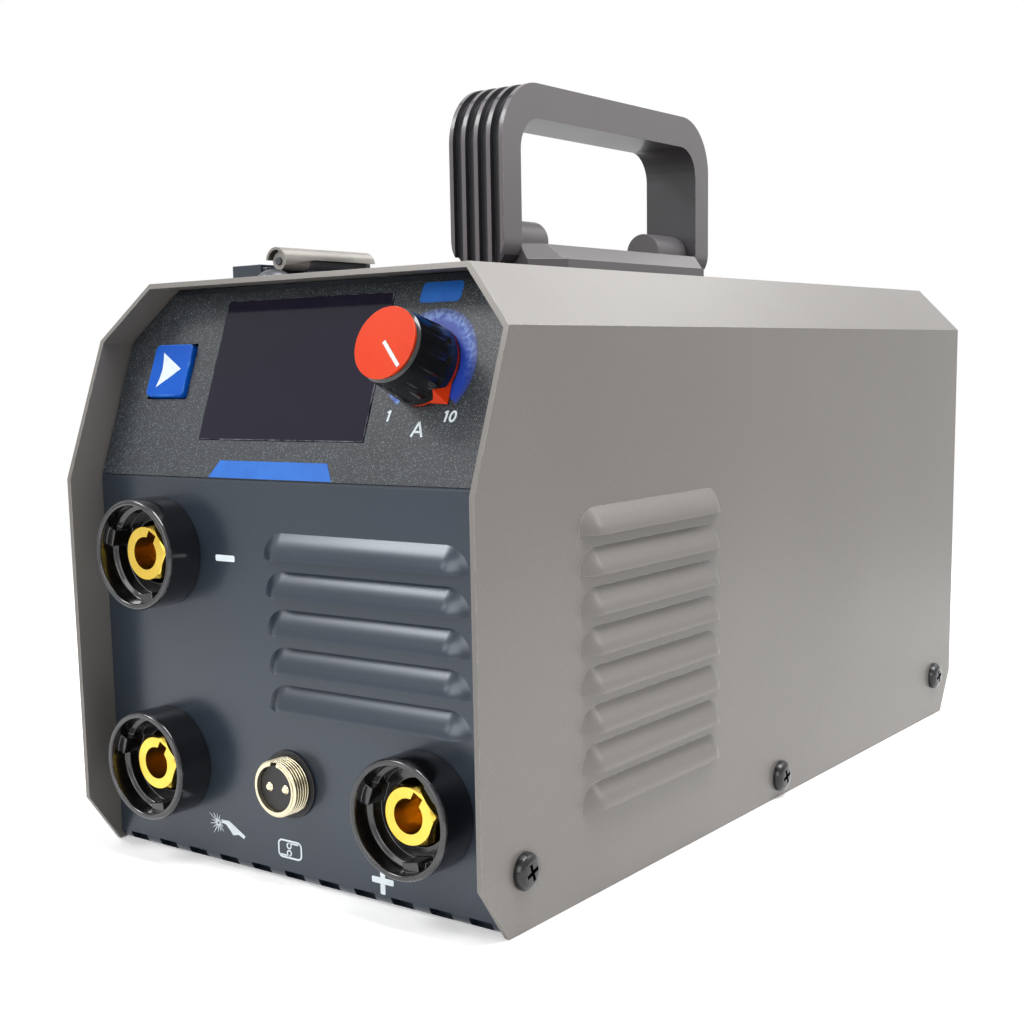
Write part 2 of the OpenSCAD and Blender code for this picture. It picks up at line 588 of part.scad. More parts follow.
module handle_base() color("#4f4c48") difference() {
  union() {
    translate([0, 0, case_h]) linear_extrude(2) base_plan(base_half_w + 2, handle_y0 - 5, handle_y1 + 5, 12);
    translate([0, 0, case_h]) linear_extrude(deck_z - case_h) base_plan(base_half_w, leg_y0 + fold_gap, leg_y1 - fold_gap, 11);
    hull() {
      translate([0, 0, deck_z - e]) linear_extrude(e) base_plan(base_half_w - 1.2, leg_y0 + fold_gap, leg_y1 - fold_gap, 10);
      translate([0, 0, deck_top]) linear_extrude(e) base_plan(base_half_w - 6, leg_y0 + fold_gap, leg_y1 - fold_gap, 7);
    }
    for (y = [[leg_y0 + fold_gap, leg_y0 + 20], [leg_y1 - 20.5, leg_y1 - fold_gap]]) {
      y_cyl(knuckle_r, y[0], y[1], 0, fold_z);
      translate([-knuckle_r, y[0], deck_top - 1]) cube([2*knuckle_r, y[1] - y[0], fold_z - deck_top + 1]);
    }
  }
  y_cyl(fold_pin_d/2, handle_y0, leg_y0 + 18, 0, fold_z);
  y_cyl(fold_pin_d/2, leg_y1 - 18, handle_y1, 0, fold_z);
  for (y = handle_screw_y) translate([0, y, case_h - 1]) {
    cylinder(r = 2.6, h = 20);
    translate([0, 0, deck_top - case_h + 1 - 2.9]) cylinder(r1 = 2.6, r2 = 5.5, h = 2.9 + e);
  }
}
module fold_pins() color("#b8bbbf") {
  y_cyl(fold_pin_d/2, handle_y0 + 3.8, leg_y0 + 18, 0, fold_z);
  y_cyl(fold_pin_d/2, leg_y1 - 18, handle_y1 - 3.8, 0, fold_z);
}
module handle_screws() color("#202124") for (y = handle_screw_y) translate([0, y, 0]) difference() {
  union() {
    translate([0, 0, case_h - 6]) cylinder(r = 2.5, h = deck_top - case_h + 3.2);
    translate([0, 0, deck_top - 2.8]) cylinder(r1 = 2.5, r2 = 5.2, h = 2.7);
  }
  translate([0, 0, deck_top - 1.6]) cylinder(r = 1.8, h = 3, $fn = 6);
}

// ---- latch
// foot plate with a rounded rivet, a narrow web and the fixed knuckle
module latch_base() color("#b9b6b0") difference() {
  union() {
    translate([latch_x - 6, latch_y0 - 8, case_h]) cube([11.6, latch_len + 10, 1]);
    translate([latch_x, latch_y0 - 1, case_h + 0.9])
      rotate_extrude() polygon(concat([[0, 0]], [for (a = [0:15:90]) [5.4*cos(a), 3.6*sin(a)]]));
    translate([latch_x - 1, latch_y0 + 12.8, case_h + 0.9]) cube([2, latch_len - 16.1, latch_rise - 1]);
    y_cyl(barrel, latch_y0 + 12.8, latch_y1 - 3.3, latch_x, latch_z);
  }
  y_cyl(latch_pin_r, latch_y0, latch_y1, latch_x, latch_z);
}
module latch_pin() color("#8f9092") y_cyl(latch_pin_r, latch_y0 + 0.8, latch_y1 - 0.6, latch_x, latch_z);
// sheet lever rolled round the pin, its right edge arched for a finger, with two knuckles inside
module latch_lever() color("#b8b3ac") difference() {
  union() {
    difference() {
      y_cyl(latch_r, latch_y0, latch_y1, latch_x, latch_z);
      y_cyl(latch_in_r, latch_y0 - 1, latch_y1 + 1, latch_x, latch_z);
      translate([latch_x - 6, latch_y0 - 1, latch_z - 6]) cube([6, latch_len + 2, 6.4]);
      translate([latch_x - 2, latch_y0 - 1, latch_z - 6]) cube([8, latch_len + 2, 4.7]);
      translate([latch_x - 1, 0, latch_z]) along_x(12) polygon([[latch_y0 + 2, -1.3 - e], [latch_y0 + 2, -1.25], [latch_y0 + 7, -0.2],
        [latch_y0 + 13, 0.5], [latch_y1 + 1, 0.4], [latch_y1 + 1, -1.3 - e]]);
    }
    for (y = [[latch_y0 + 1.4, latch_y0 + 12.4], [latch_y1 - 2.9, latch_y1 - 0.6]]) {
      y_cyl(barrel, y[0], y[1], latch_x, latch_z);
      translate([latch_x - 0.5, y[0], latch_z + 2]) cube([1, y[1] - y[0], latch_in_r - 1.9]);
    }
  }
  y_cyl(latch_pin_r + run_fit, latch_y0 - 1, latch_y1 + 1, latch_x, latch_z);
}

// ---- door
module door_panel() color("#98928b") {
  y0 = door_y0 + door_gap; y1 = door_y1 - door_gap; z0 = door_z0 + door_gap; z1 = door_z1 - door_gap;
  difference() {
    union() {
      translate([-hw, y0, z0]) cube([sheet, y1 - y0, z1 - z0]);
      for (z = [z0, z1 - sheet]) translate([-hw + e, y0, z]) cube([8, y1 - y0, sheet]);
      for (y = [y0, y1 - sheet]) translate([-hw + e, y, z0]) cube([8, sheet, z1 - z0]);
    }
    on_left((y0 + y1)/2, (z0 + z1)/2) translate([0, 0, -0.7]) linear_extrude(2) difference() {
      round_rect(y1 - y0 - 24, z1 - z0 - 24, 10);
      round_rect(y1 - y0 - 28, z1 - z0 - 28, 8);
    }
  }
}
// strap over the sloped strip, ending in a block whose tongue reaches the lever's left edge
module door_catch() color("#3c4048") translate([0, latch_y0, 0]) {
  depth = 24;
  block = latch_x - 6.6;
  translate([0, depth/2, 0]) along_y(depth) intersection() {
    difference() { outline(-2.4, 0); outline(-0.4, -1); }
    translate([-hw - 5, door_z1 - 20.8]) square([hw + 5 + block, 60]);
  }
  translate([0, depth/2, 0]) along_y(depth) translate([-hw - 0.4 - e, door_z1 - 20.8]) square([0.4 + e, 17]);
  translate([0, depth/2, 0]) along_y(depth) translate([-hw + top_chamfer, case_h + 0.4]) square([hw - top_chamfer + block, 5.9]);
  translate([block - e, 1, latch_z - 2.9]) cube([1.7, depth - 2, 1.3]);
}
module leaf(y, up) {
  z0 = up ? hinge_z : hinge_z - 10;
  translate([-hw - 1.2, y - knuckle/2 + 0.2, z0]) cube([1.2, knuckle - 0.4, 10]);
  y_cyl(barrel_r, y - knuckle/2 + 0.2, y + knuckle/2 - 0.2, hinge_x, hinge_z);
}
module door_leaves() color("#8e8983") difference() {
  for (c = hinge_y) {
    leaf(c, true);
    translate([-hw - 1.2, c - 14, hinge_z + 3]) cube([1.2, 28, 9]);
  }
  for (c = hinge_y) y_cyl(hinge_pin_r + run_fit, c - 30, c + 30, hinge_x, hinge_z);
}
module case_leaves() color("#8e8983") difference() {
  for (c = hinge_y, s = [-1, 1]) leaf(c + s*knuckle, false);
  for (c = hinge_y) y_cyl(hinge_pin_r, c - 30, c + 30, hinge_x, hinge_z);
}
module hinge_pins() color("#c4c6c8") for (c = hinge_y) y_cyl(hinge_pin_r, c - 14.6, c + 14.6, hinge_x, hinge_z);

// ---- wire drive
module drive_block() color("#2c2e32") difference() {
  union() {
    translate([divider_x - 16, roll_y - 30, sheet + 1.5]) cube([16, 60, 58]);
    translate([wire_x - 8, roll_y - 30, sheet + 1.5]) cube([divider_x - 16 - wire_x + 8 + e, 14, press_z + 10]);
    translate([wire_x - 6, roll_y + 18, sheet + 1.5]) cube([divider_x - 16 - wire_x + 6 + e, 12, wire_z + 5]);
    y_cyl(4, roll_y - 50, roll_y - 30 + e, wire_x, wire_z);
    y_cyl(3.4, roll_y + 30 - e, roll_y + 46, wire_x, wire_z);
  }
  y_cyl(1.2, roll_y - 60, roll_y + 60, wire_x, wire_z);
  x_cyl(9.1, divider_x - 20, divider_x + 4, roll_y, drive_z);
  translate([wire_x - 9, roll_y - 31, arm_z - 6]) cube([18, 16, 30]);
  x_cyl(arm_pin_r, wire_x - 10, divider_x - 2, arm_y, arm_z);
}
module drive_roll() color("#c6c9cc") difference() {
  translate([wire_x, roll_y, drive_z]) rotate([0, 90, 0]) rotate_extrude() polygon([[2.6, -5], [drive_r - 0.5, -5], [drive_r, -4.5], [drive_r, -0.8], [drive_r - 0.7, 0],
    [drive_r, 0.8], [drive_r, 4.5], [drive_r - 0.5, 5], [2.6, 5]]);
  for (i = [0:5]) translate([wire_x, roll_y, drive_z]) rotate([i*60, 0, 0]) translate([-6, 0, 6.8]) rotate([0, 90, 0]) cylinder(r = 1.3, h = 12, $fn = 24);
}
module roll_screw() color("#9a9da1") {
  x_cyl(2.6, wire_x - 5.2, divider_x - 1, roll_y, drive_z);
  difference() {
    x_cyl(4.6, wire_x - 8, wire_x - 5 - 0.05, roll_y, drive_z);
    translate([wire_x - 9, roll_y - 0.6, drive_z - 5]) cube([2.2, 1.2, 10]);
  }
  x_cyl(4.2, wire_x + 5.1, wire_x + 9, roll_y, drive_z);
}
module gear_motor() color("#5c6066") difference() {
  union() {
    x_cyl(9, divider_x - 12, divider_x + sheet, roll_y, drive_z);
    translate([divider_x + sheet, roll_y - 16, sheet + 0.2]) cube([5, 32, 31]);
  }
  x_cyl(2.6 + run_fit, divider_x - 20, divider_x - 0.6, roll_y, drive_z);
}
module pressure_arm() color("#3a3d44") difference() {
  union() {
    x_cyl(5, wire_x - 6.5, wire_x + 6.5, arm_y, arm_z);
    translate([wire_x - 6.5, arm_y, arm_z]) cube([13, 48, 5]);
    for (s = [-1, 1]) hull() {
      x_cyl(4.6, wire_x + s*5.85 - 0.65, wire_x + s*5.85 + 0.65, roll_y, press_z);
      translate([wire_x + s*5.85 - 0.65, roll_y - 12, arm_z]) cube([1.3, 24, 4.9]);
    }
    translate([wire_x, arm_y + tension_reach, arm_z + 5 - e]) cylinder(r = 5, h = 5);
  }
  x_cyl(arm_pin_r + run_fit, wire_x - 10, wire_x + 10, arm_y, arm_z);
  translate([wire_x - 5.2, roll_y - press_r - 3, press_z - press_r - 2]) cube([10.4, 2*press_r + 6, press_r*2 + 4]);
  x_cyl(axle_r + run_fit, wire_x - 7, wire_x + 7, roll_y, press_z);
  translate([wire_x, arm_y + tension_reach, arm_z - 1]) cylinder(r = 2.5 + run_fit, h = 20);
}
module arm_pin() color("#b8bbbf") x_cyl(arm_pin_r, wire_x - 7.5, divider_x - 3, arm_y, arm_z);
module pressure_roll() color("#c6c9cc") translate([wire_x, roll_y, press_z]) rotate([0, 90, 0])
  rotate_extrude() polygon([[0, -6.3], [axle_r, -6.3], [axle_r, -4.9], [4, -4.9], [4, -4.6], [press_r - 0.5, -4.6], [press_r, -4.1],
    [press_r, 4.1], [press_r - 0.5, 4.6], [4, 4.6], [4, 4.9], [axle_r, 4.9], [axle_r, 6.3], [0, 6.3]]);
module tension_knob() color("#c8372b") translate([wire_x, arm_y + tension_reach, 0]) difference() {
  union() {
    translate([0, 0, arm_z + 0.4]) cylinder(r = 2.5, h = 12);
    translate([0, 0, arm_z + 10.3]) cylinder(r1 = 6.4, r2 = 5.4, h = 20);
  }
  for (i = [0:7]) rotate([0, 0, i*45]) translate([6.9, 0, arm_z + 12]) cylinder(r = 1.1, h = 20, $fn = 24);
}
module hub_spindle() color("#8f9296") {
  x_cyl(5, divider_x - hub_len - 8, divider_x + sheet + 3, hub_y, hub_z);
  x_cyl(16, divider_x - 3, divider_x, hub_y, hub_z);
  x_cyl(9, divider_x + sheet, divider_x + sheet + 3, hub_y, hub_z);
}
module spool_hub() color("#26282c") difference() {
  union() {
    x_cyl(hub_d/2, divider_x - 3.4 - hub_len, divider_x - 3.4, hub_y, hub_z);
    x_cyl(20, divider_x - 6.4, divider_x - 3.4, hub_y, hub_z);
    translate([divider_x - 12, hub_y + 14, hub_z]) x_cyl(2.4, 0, 6, 0, 0);
  }
  x_cyl(5 + run_fit, divider_x - 60, divider_x, hub_y, hub_z);
  for (i = [0:2]) translate([divider_x - 7, hub_y, hub_z]) rotate([30 + i*120, 0, 0]) translate([0, 0, 14.5]) rotate([0, 90, 0]) cylinder(r = 2.6, h = 5, $fn = 24);
}
module hub_nut() color("#1f2023") difference() {
  union() {
    x_cyl(9.5, divider_x - hub_len - 7.7, divider_x - hub_len - 3.7, hub_y, hub_z);
  }
  x_cyl(5, divider_x - 70, divider_x, hub_y, hub_z);
  for (i = [0:7]) translate([0, hub_y, hub_z]) rotate([i*45, 0, 0]) translate([divider_x - hub_len - 8, 0, 10.4]) rotate([0, 90, 0]) cylinder(r = 1.5, h = 6, $fn = 24);
}

// ---- inner parts of the power side
module main_board() color("#1f6b45") {
  difference() {
    translate([board_x[0], board_y[0], board_z]) cube([board_x[1] - board_x[0], board_y[1] - board_y[0], 1.6]);
    for (x = [board_x[0] + 5, board_x[1] - 5], y = [board_y[0] + 5, board_y[1] - 5]) translate([x, y, board_z - 1]) cylinder(r = 1.7, h = 4);
  }
  for (x = [board_x[0] + 5, board_x[1] - 5], y = [board_y[0] + 5, board_y[1] - 5]) translate([x, y, sheet]) difference() {
    cylinder(r = 4, h = board_z - sheet, $fn = 6);
    translate([0, 0, -1]) cylinder(r = 1.7, h = 40);
  }
}
module heat_sinks() color("#b4b8bc") for (x0 = [-3, 37]) translate([x0, board_y[0] + 55, board_z + 1.6]) {
  len = board_y[1] - board_y[0] - 100;
  cube([30, len, 5]);
  for (i = [0:6]) translate([i*4.67, 0, 5 - e]) cube([2, len, 30]);
}
module transformer() color("#3a3c40") translate([2, board_y[0] + 5, board_z + 1.6]) difference() {
  union() {
    cube([58, 18, 44]);
    translate([9, -3, 8]) cube([40, 24, 28]);
  }
  for (x = [-1, 57.2]) translate([x, 4, 4]) cube([1.8, 10, 36]);
}
module capacitors() color("#22304a") for (x = [6, 31, 56]) translate([x, board_y[1] - 21, board_z + 1.6])
  rotate_extrude() polygon([[0, 0], [11, 0], [11, 2], [10.5, 2.8], [11, 3.6], [11, 37], [10.2, 38], [9, 37.6], [0, 37.6]]);

// ---- rear
module fan_frame() color("#1c1d20") translate([fan_x, fan_y, fan_z]) rotate([-90, 0, 0]) {
  difference() {
    linear_extrude(25) round_rect(fan_size, fan_size, 4);
    translate([0, 0, -1]) cylinder(r = fan_size/2 - 2.5, h = 27);
    for (a = [-1, 1], b = [-1, 1]) translate([a*fan_bolt, b*fan_bolt, -1]) cylinder(r = 2.2, h = 27);
  }
  for (a = [45:90:315]) rotate([0, 0, a]) translate([10, -1.6, 0]) cube([fan_size/2 - 12, 3.2, 2.4]);
  cylinder(r = 14, h = 3);
  translate([0, 0, 3 - e]) cylinder(r = 3, h = 6);
}
module fan_rotor() color("#2a2b2f") translate([fan_x, fan_y, fan_z]) rotate([-90, 0, 0]) {
  difference() {
    translate([0, 0, 3.6]) cylinder(r = 14.5, h = 18);
    translate([0, 0, 3]) cylinder(r = 12.5, h = 14);
  }
  difference() {
    translate([0, 0, 5]) cylinder(r = 5, h = 14);
    translate([0, 0, 4]) cylinder(r = 3 + run_fit, h = 6);
  }
  intersection() {
    for (i = [0:6]) rotate([0, 0, i*360/7]) translate([12, 0, 12.5]) rotate([38, 0, 0]) translate([0, -10, -0.8]) cube([24.8, 20, 1.6]);
    translate([0, 0, 4.6]) cylinder(r = fan_size/2 - 3.6, h = 16.6);
  }
}
module fan_guard() color("#a9acb0") on_rear(fan_x, fan_z) {
  for (r = [12, 19.5, 27, 34.5]) translate([0, 0, 2.8]) rotate_extrude() translate([r, 0]) circle(0.8, $fn = 20);
  for (a = [45:90:315]) rotate([0, 0, a]) {
    translate([8, 0, 1.4]) rotate([0, 90, 0]) cylinder(r = 0.8, h = sqrt(2)*fan_bolt - 8 - 3.75, $fn = 20);
    translate([sqrt(2)*fan_bolt, 0, 0]) difference() {
      cylinder(r = 3.9, h = 1.6);
      translate([0, 0, -1]) cylinder(r = 2.2, h = 4);
    }
  }
  translate([0, 0, 0.8]) difference() { cylinder(r = 8.6, h = 1.4); translate([0, 0, -1]) cylinder(r = 6.6, h = 4); }
}
module fan_screws() color("#c0c2c5") on_rear(fan_x, fan_z) for (a = [-1, 1], b = [-1, 1]) translate([a*fan_bolt, b*fan_bolt, 1.6]) difference() {
  union() { cylinder(r1 = 3.6, r2 = 2.6, h = 2); translate([0, 0, -30.6]) cylinder(r = 2, h = 30.6 + e); }
  for (r = [0, 90]) rotate([0, 0, r]) translate([-1.7, -0.4, 1]) cube([3.4, 0.8, 3]);
}
module switch_body() color("#1b1c1f") on_rear(switch_x, inlet_z) difference() {
  union() {
    linear_extrude(2.2) round_rect(31, 24.4, 2);
    translate([-13.5, -10, -20]) cube([27, 20, 20 + e]);
    for (x = [-8, 0, 8]) translate([x - 0.4, -3, -27]) cube([0.8, 6, 7 + e]);
  }
  translate([-11.6, -7.9, -11]) cube([23.2, 15.8, 20]);
  translate([0, 0, rocker_pivot]) rotate([90, 0, 0]) cylinder(r = 1.2 + run_fit, h = 18.4, center = true);
}
// two-faced rocker turning on side trunnions, its left end pressed in at rest
module switch_rocker() color("#c22a22") on_rear(switch_x, inlet_z) translate([0, 0, rocker_pivot]) rotate([0, -rocker_tilt, 0]) {
  intersection() {
    rotate([90, 0, 0]) linear_extrude(15.2, center = true) polygon([[-11.6, -4], [-11.6, 5], [0, 3.2], [11.6, 5], [11.6, -4], [3, -6], [-3, -6]]);
    rotate([90, 0, 0]) cylinder(r = 11.3, h = 20, center = true);
  }
  rotate([90, 0, 0]) cylinder(r = 1.2, h = 17.8, center = true);
}
module cable_gland() color("#1d1e21") on_rear(gland_x, inlet_z) difference() {
  union() {
    cylinder(r = 12.2, h = 3.6, $fn = 6);
    translate([0, 0, 3.6 - e]) rotate_extrude() polygon([[0, 0], [10.6, 0], [10.6, 3.6], [9.4, 6.4], [7.4, 7.6], [0, 7.6]]);
    translate([0, 0, -12]) cylinder(r = 8, h = 12 + e);
    translate([0, 0, -sheet - 4.2]) cylinder(r = 11.8, h = 4, $fn = 6);
  }
  translate([0, 0, -13]) cylinder(r = gland_bore_d/2, h = 40);
}
module earth_bolt() color("#d9a93a") on_rear(-30, 26) {
  translate([0, 0, -10]) cylinder(r = 3, h = 18);
  cylinder(r = 6, h = 1.2);
  translate([0, 0, 1.2 - e]) cylinder(r = 5.7, h = 4.2, $fn = 6);
  translate([0, 0, -sheet - 4]) cylinder(r = 5.7, h = 4, $fn = 6);
}

cover();
front_panel();
base_tray();
rear_panel();
divider();
panel_overlay();
display_window();
display_board();
mode_button();
button_switch();
knob_body();
knob_cap();
knob_skirt();
potentiometer();
pot_shaft();
socket_collars();
socket_contacts();
socket_nuts();
control_shell();
control_insert();
control_pins();
control_washer();
cover_screws();
handle_base();
handle_loop();
fold_pins();
handle_screws();
latch_base();
latch_pin();
latch_lever();
door_panel();
door_catch();
door_leaves();
case_leaves();
hinge_pins();
drive_block();
drive_roll();
roll_screw();
gear_motor();
pressure_arm();
arm_pin();
pressure_roll();
tension_knob();
hub_spindle();
spool_hub();
hub_nut();
main_board();
heat_sinks();
transformer();
capacitors();
fan_frame();
fan_rotor();
fan_guard();
fan_screws();
switch_body();
switch_rocker();
cable_gland();
earth_bolt();
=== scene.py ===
import json
import math

import bmesh
import bpy
from mathutils import Matrix, Vector


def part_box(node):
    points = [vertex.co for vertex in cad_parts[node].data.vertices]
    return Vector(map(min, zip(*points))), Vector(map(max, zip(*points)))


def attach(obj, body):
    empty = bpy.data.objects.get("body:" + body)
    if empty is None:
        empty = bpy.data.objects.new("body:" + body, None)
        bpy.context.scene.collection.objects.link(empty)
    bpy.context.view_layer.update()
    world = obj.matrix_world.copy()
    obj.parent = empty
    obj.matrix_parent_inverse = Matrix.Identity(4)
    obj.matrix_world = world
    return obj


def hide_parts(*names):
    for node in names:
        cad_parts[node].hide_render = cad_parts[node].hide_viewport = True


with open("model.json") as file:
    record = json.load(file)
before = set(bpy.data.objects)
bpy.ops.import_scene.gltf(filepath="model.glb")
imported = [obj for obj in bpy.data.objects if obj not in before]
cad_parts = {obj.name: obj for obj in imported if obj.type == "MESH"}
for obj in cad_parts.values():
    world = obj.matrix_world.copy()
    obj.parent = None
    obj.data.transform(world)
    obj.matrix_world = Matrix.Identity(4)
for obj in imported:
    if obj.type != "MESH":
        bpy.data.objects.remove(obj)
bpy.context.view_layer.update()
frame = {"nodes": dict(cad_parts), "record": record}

MM = 0.001
record = frame["record"]
nodes = frame["nodes"]
body_with = {n: b for b, members in record["behaviour"]["bodies"].items() for n in members}
joints = {j["name"]: j for j in record["behaviour"]["joints"]}

# Faces that the pieces are laid out from
PANEL_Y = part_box("control_washer")[1].y
FACE_OUT = Vector(joints["current_turn"]["axis"])
FACE_UP = Vector((0, FACE_OUT.z, -FACE_OUT.y))
KNOB_AT = Vector(joints["current_turn"]["pos_m"])
KNOB_RISE = (KNOB_AT.y - PANEL_Y) / FACE_UP.y
BEND_Z = KNOB_AT.z - KNOB_RISE * FACE_UP.z
FILM = 0.6 * MM  # thickness of the control panel's film


def slope_frame(x, s, out=0.0):
    """Matrix whose X runs across the control panel, Y up it and Z out; s is the way up from the bend."""
    m = Matrix.Identity(4)
    m.col[1][:3] = FACE_UP
    m.col[2][:3] = FACE_OUT
    m.col[3][:3] = Vector((x, PANEL_Y, BEND_Z)) + FACE_UP * s + FACE_OUT * out
    return m


def front_frame(x, z):
    """Matrix whose X runs across the upright front, Y up it and Z out of it."""
    m = Matrix.Identity(4)
    m.col[1][:3] = (0, 0, 1)
    m.col[2][:3] = (0, -1, 0)
    m.col[3][:3] = (x, PANEL_Y, z)
    return m


# ---------------------------------------------------------------- materials


MID_GREY, LIGHT_GREY = (0.5, 0.5, 0.5, 1), (0.8, 0.8, 0.8, 1)


def new_group(name, inputs, outputs):
    """A shader node group with a Vector input, inputs named with their values, and outputs."""
    tree = bpy.data.node_groups.new(name, "ShaderNodeTree")
    tree.interface.new_socket(name="Vector", in_out="INPUT", socket_type="NodeSocketVector")
    for label, value in inputs.items():
        kind = "NodeSocketColor" if isinstance(value, tuple) else "NodeSocketFloat"
        tree.interface.new_socket(name=label, in_out="INPUT", socket_type=kind).default_value = value
    for label in outputs:
        kind = "NodeSocketColor" if label == "Colour" else "NodeSocketFloat"
        tree.interface.new_socket(name=label, in_out="OUTPUT", socket_type=kind)
    return tree, tree.nodes.new("NodeGroupInput"), tree.nodes.new("NodeGroupOutput")


def link(tree, a, b):
    tree.links.new(a, b)


def feed(tree, value, socket):
    """Gives a socket a number, a tuple or another node's output."""
    if isinstance(value, (int, float, tuple)):
        socket.default_value = value
    else:
        link(tree, value, socket)


def math_node(tree, kind, a, b, clamp=False):
    """A Math node whose inputs are sockets or numbers."""
    n = tree.nodes.new("ShaderNodeMath")
    n.operation = kind
    n.use_clamp = clamp
    for i, v in enumerate((a, b)):
        feed(tree, v, n.inputs[i])
    return n.outputs[0]


def mix_colour(tree, factor, a, b):
    n = tree.nodes.new("ShaderNodeMix")
    n.data_type = "RGBA"
    for i, v in ((0, factor), (6, a), (7, b)):
        feed(tree, v, n.inputs[i])
    return n.outputs[2]


def noise_node(tree, vector, scale, detail=2.0, rough=0.5):
    n = tree.nodes.new("ShaderNodeTexNoise")
    link(tree, vector, n.inputs["Vector"])
    feed(tree, scale, n.inputs["Scale"])
    n.inputs["Detail"].default_value = detail
    n.inputs["Roughness"].default_value = rough
    return n.outputs["Fac"]


def ramp(tree, value, low, high):
    """A smooth step of value from low to high."""
    n = tree.nodes.new("ShaderNodeMapRange")
    n.interpolation_type = "SMOOTHSTEP"
    link(tree, value, n.inputs["Value"])
    n.inputs["From Min"].default_value = low
    n.inputs["From Max"].default_value = high
    return n.outputs["Result"]


def make_mottle():
    """Slow and fine shifts of one colour, as in a sprayed or moulded surface."""
    tree, i, o = new_group(
        "colour mottle",
        {"Colour": MID_GREY, "Second Colour": MID_GREY, "Patch Scale": 40.0, "Grain Scale": 2500.0, "Grain": 0.3},
        ("Colour", "Value"))
    patch = ramp(tree, noise_node(tree, i.outputs["Vector"], i.outputs["Patch Scale"], 3.0), 0.3, 0.7)
    grain = noise_node(tree, i.outputs["Vector"], i.outputs["Grain Scale"], 1.0)
    grain = math_node(tree, "MULTIPLY", math_node(tree, "SUBTRACT", grain, 0.5), i.outputs["Grain"])
    value = math_node(tree, "ADD", patch, grain, clamp=True)
    link(tree, mix_colour(tree, value, i.outputs["Colour"], i.outputs["Second Colour"]), o.inputs["Colour"])
    link(tree, value, o.inputs["Value"])
    return tree


def make_wear():
    """Rubbed edges: the edge attribute of a piece, broken up by noise."""
    tree, i, o = new_group(
        "edge wear",
        {"Edge": 0.0, "Scale": 300.0, "Colour": MID_GREY, "Worn Colour": LIGHT_GREY, "Amount": 0.3},
        ("Colour", "Mask"))
    broken = ramp(tree, noise_node(tree, i.outputs["Vector"], i.outputs["Scale"], 3.0, 0.6), 0.35, 0.7)
    rubbed = math_node(tree, "MULTIPLY", i.outputs["Edge"], broken)
    mask = math_node(tree, "MULTIPLY", rubbed, i.outputs["Amount"], clamp=True)
    link(tree, mix_colour(tree, mask, i.outputs["Colour"], i.outputs["Worn Colour"]), o.inputs["Colour"])
    link(tree, mask, o.inputs["Mask"])
    return tree


def make_flecks():
    """Fine bright flecks in a film or a metallic paint."""
    tree, i, o = new_group(
        "metal flecks",
        {"Colour": MID_GREY, "Fleck Colour": LIGHT_GREY, "Scale": 2200.0, "Amount": 0.5},
        ("Colour", "Mask"))
    cells = tree.nodes.new("ShaderNodeTexVoronoi")
    cells.feature = "F1"
    link(tree, i.outputs["Vector"], cells.inputs["Vector"])
    link(tree, i.outputs["Scale"], cells.inputs["Scale"])
    spot = tree.nodes.new("ShaderNodeSeparateColor")
    link(tree, cells.outputs["Color"], spot.inputs[0])
    chosen = ramp(tree, spot.outputs[0], 0.62, 0.95)
    near = ramp(tree, math_node(tree, "SUBTRACT", 0.62, cells.outputs["Distance"]), 0.0, 0.4)
    mask = math_node(tree, "MULTIPLY", math_node(tree, "MULTIPLY", chosen, near), i.outputs["Amount"], clamp=True)
    link(tree, mix_colour(tree, mask, i.outputs["Colour"], i.outputs["Fleck Colour"]), o.inputs["Colour"])
    link(tree, mask, o.inputs["Mask"])
    return tree


def make_relief():
    """Height of orange peel or moulded grain, and a roughness that follows it."""
    tree, i, o = new_group(
        "surface relief", {"Scale": 900.0, "Roughness": 0.4, "Roughness Swing": 0.06}, ("Height", "Roughness"))
    fine = noise_node(tree, i.outputs["Vector"], i.outputs["Scale"], 3.0, 0.55)
    slow = noise_node(tree, i.outputs["Vector"], 35.0, 2.0)
    link(tree, fine, o.inputs["Height"])
    swing = math_node(tree, "MULTIPLY", math_node(tree, "SUBTRACT", slow, 0.5), i.outputs["Roughness Swing"])
    link(tree, math_node(tree, "ADD", i.outputs["Roughness"], swing, clamp=True), o.inputs["Roughness"])
    return tree


MOTTLE, WEAR, FLECKS, RELIEF = make_mottle(), make_wear(), make_flecks(), make_relief()


def linear(r, g, b):
    """Scene colour of an sRGB colour given in 0 to 255."""
    def one(v):
        v /= 255
        return v / 12.92 if v <= 0.04045 else ((v + 0.055) / 1.055) ** 2.4
    return (one(r), one(g), one(b), 1.0)


def place_group(tree, group, vector, **values):
    n = tree.nodes.new("ShaderNodeGroup")
    n.node_tree = group
    link(tree, vector, n.inputs["Vector"])
    for label, v in values.items():
        feed(tree, v, n.inputs[label.replace("_", " ")])
    return n


def attribute(tree, name):
    """A value that a piece's mesh carries on its faces or vertices."""
    n = tree.nodes.new("ShaderNodeAttribute")
    n.attribute_name = name
    return n.outputs["Fac"]


def shade(colour, vary):
    """An sRGB colour made lighter by vary steps, as a scene colour."""
    return linear(*(min(255, max(0, v + vary)) for v in colour))


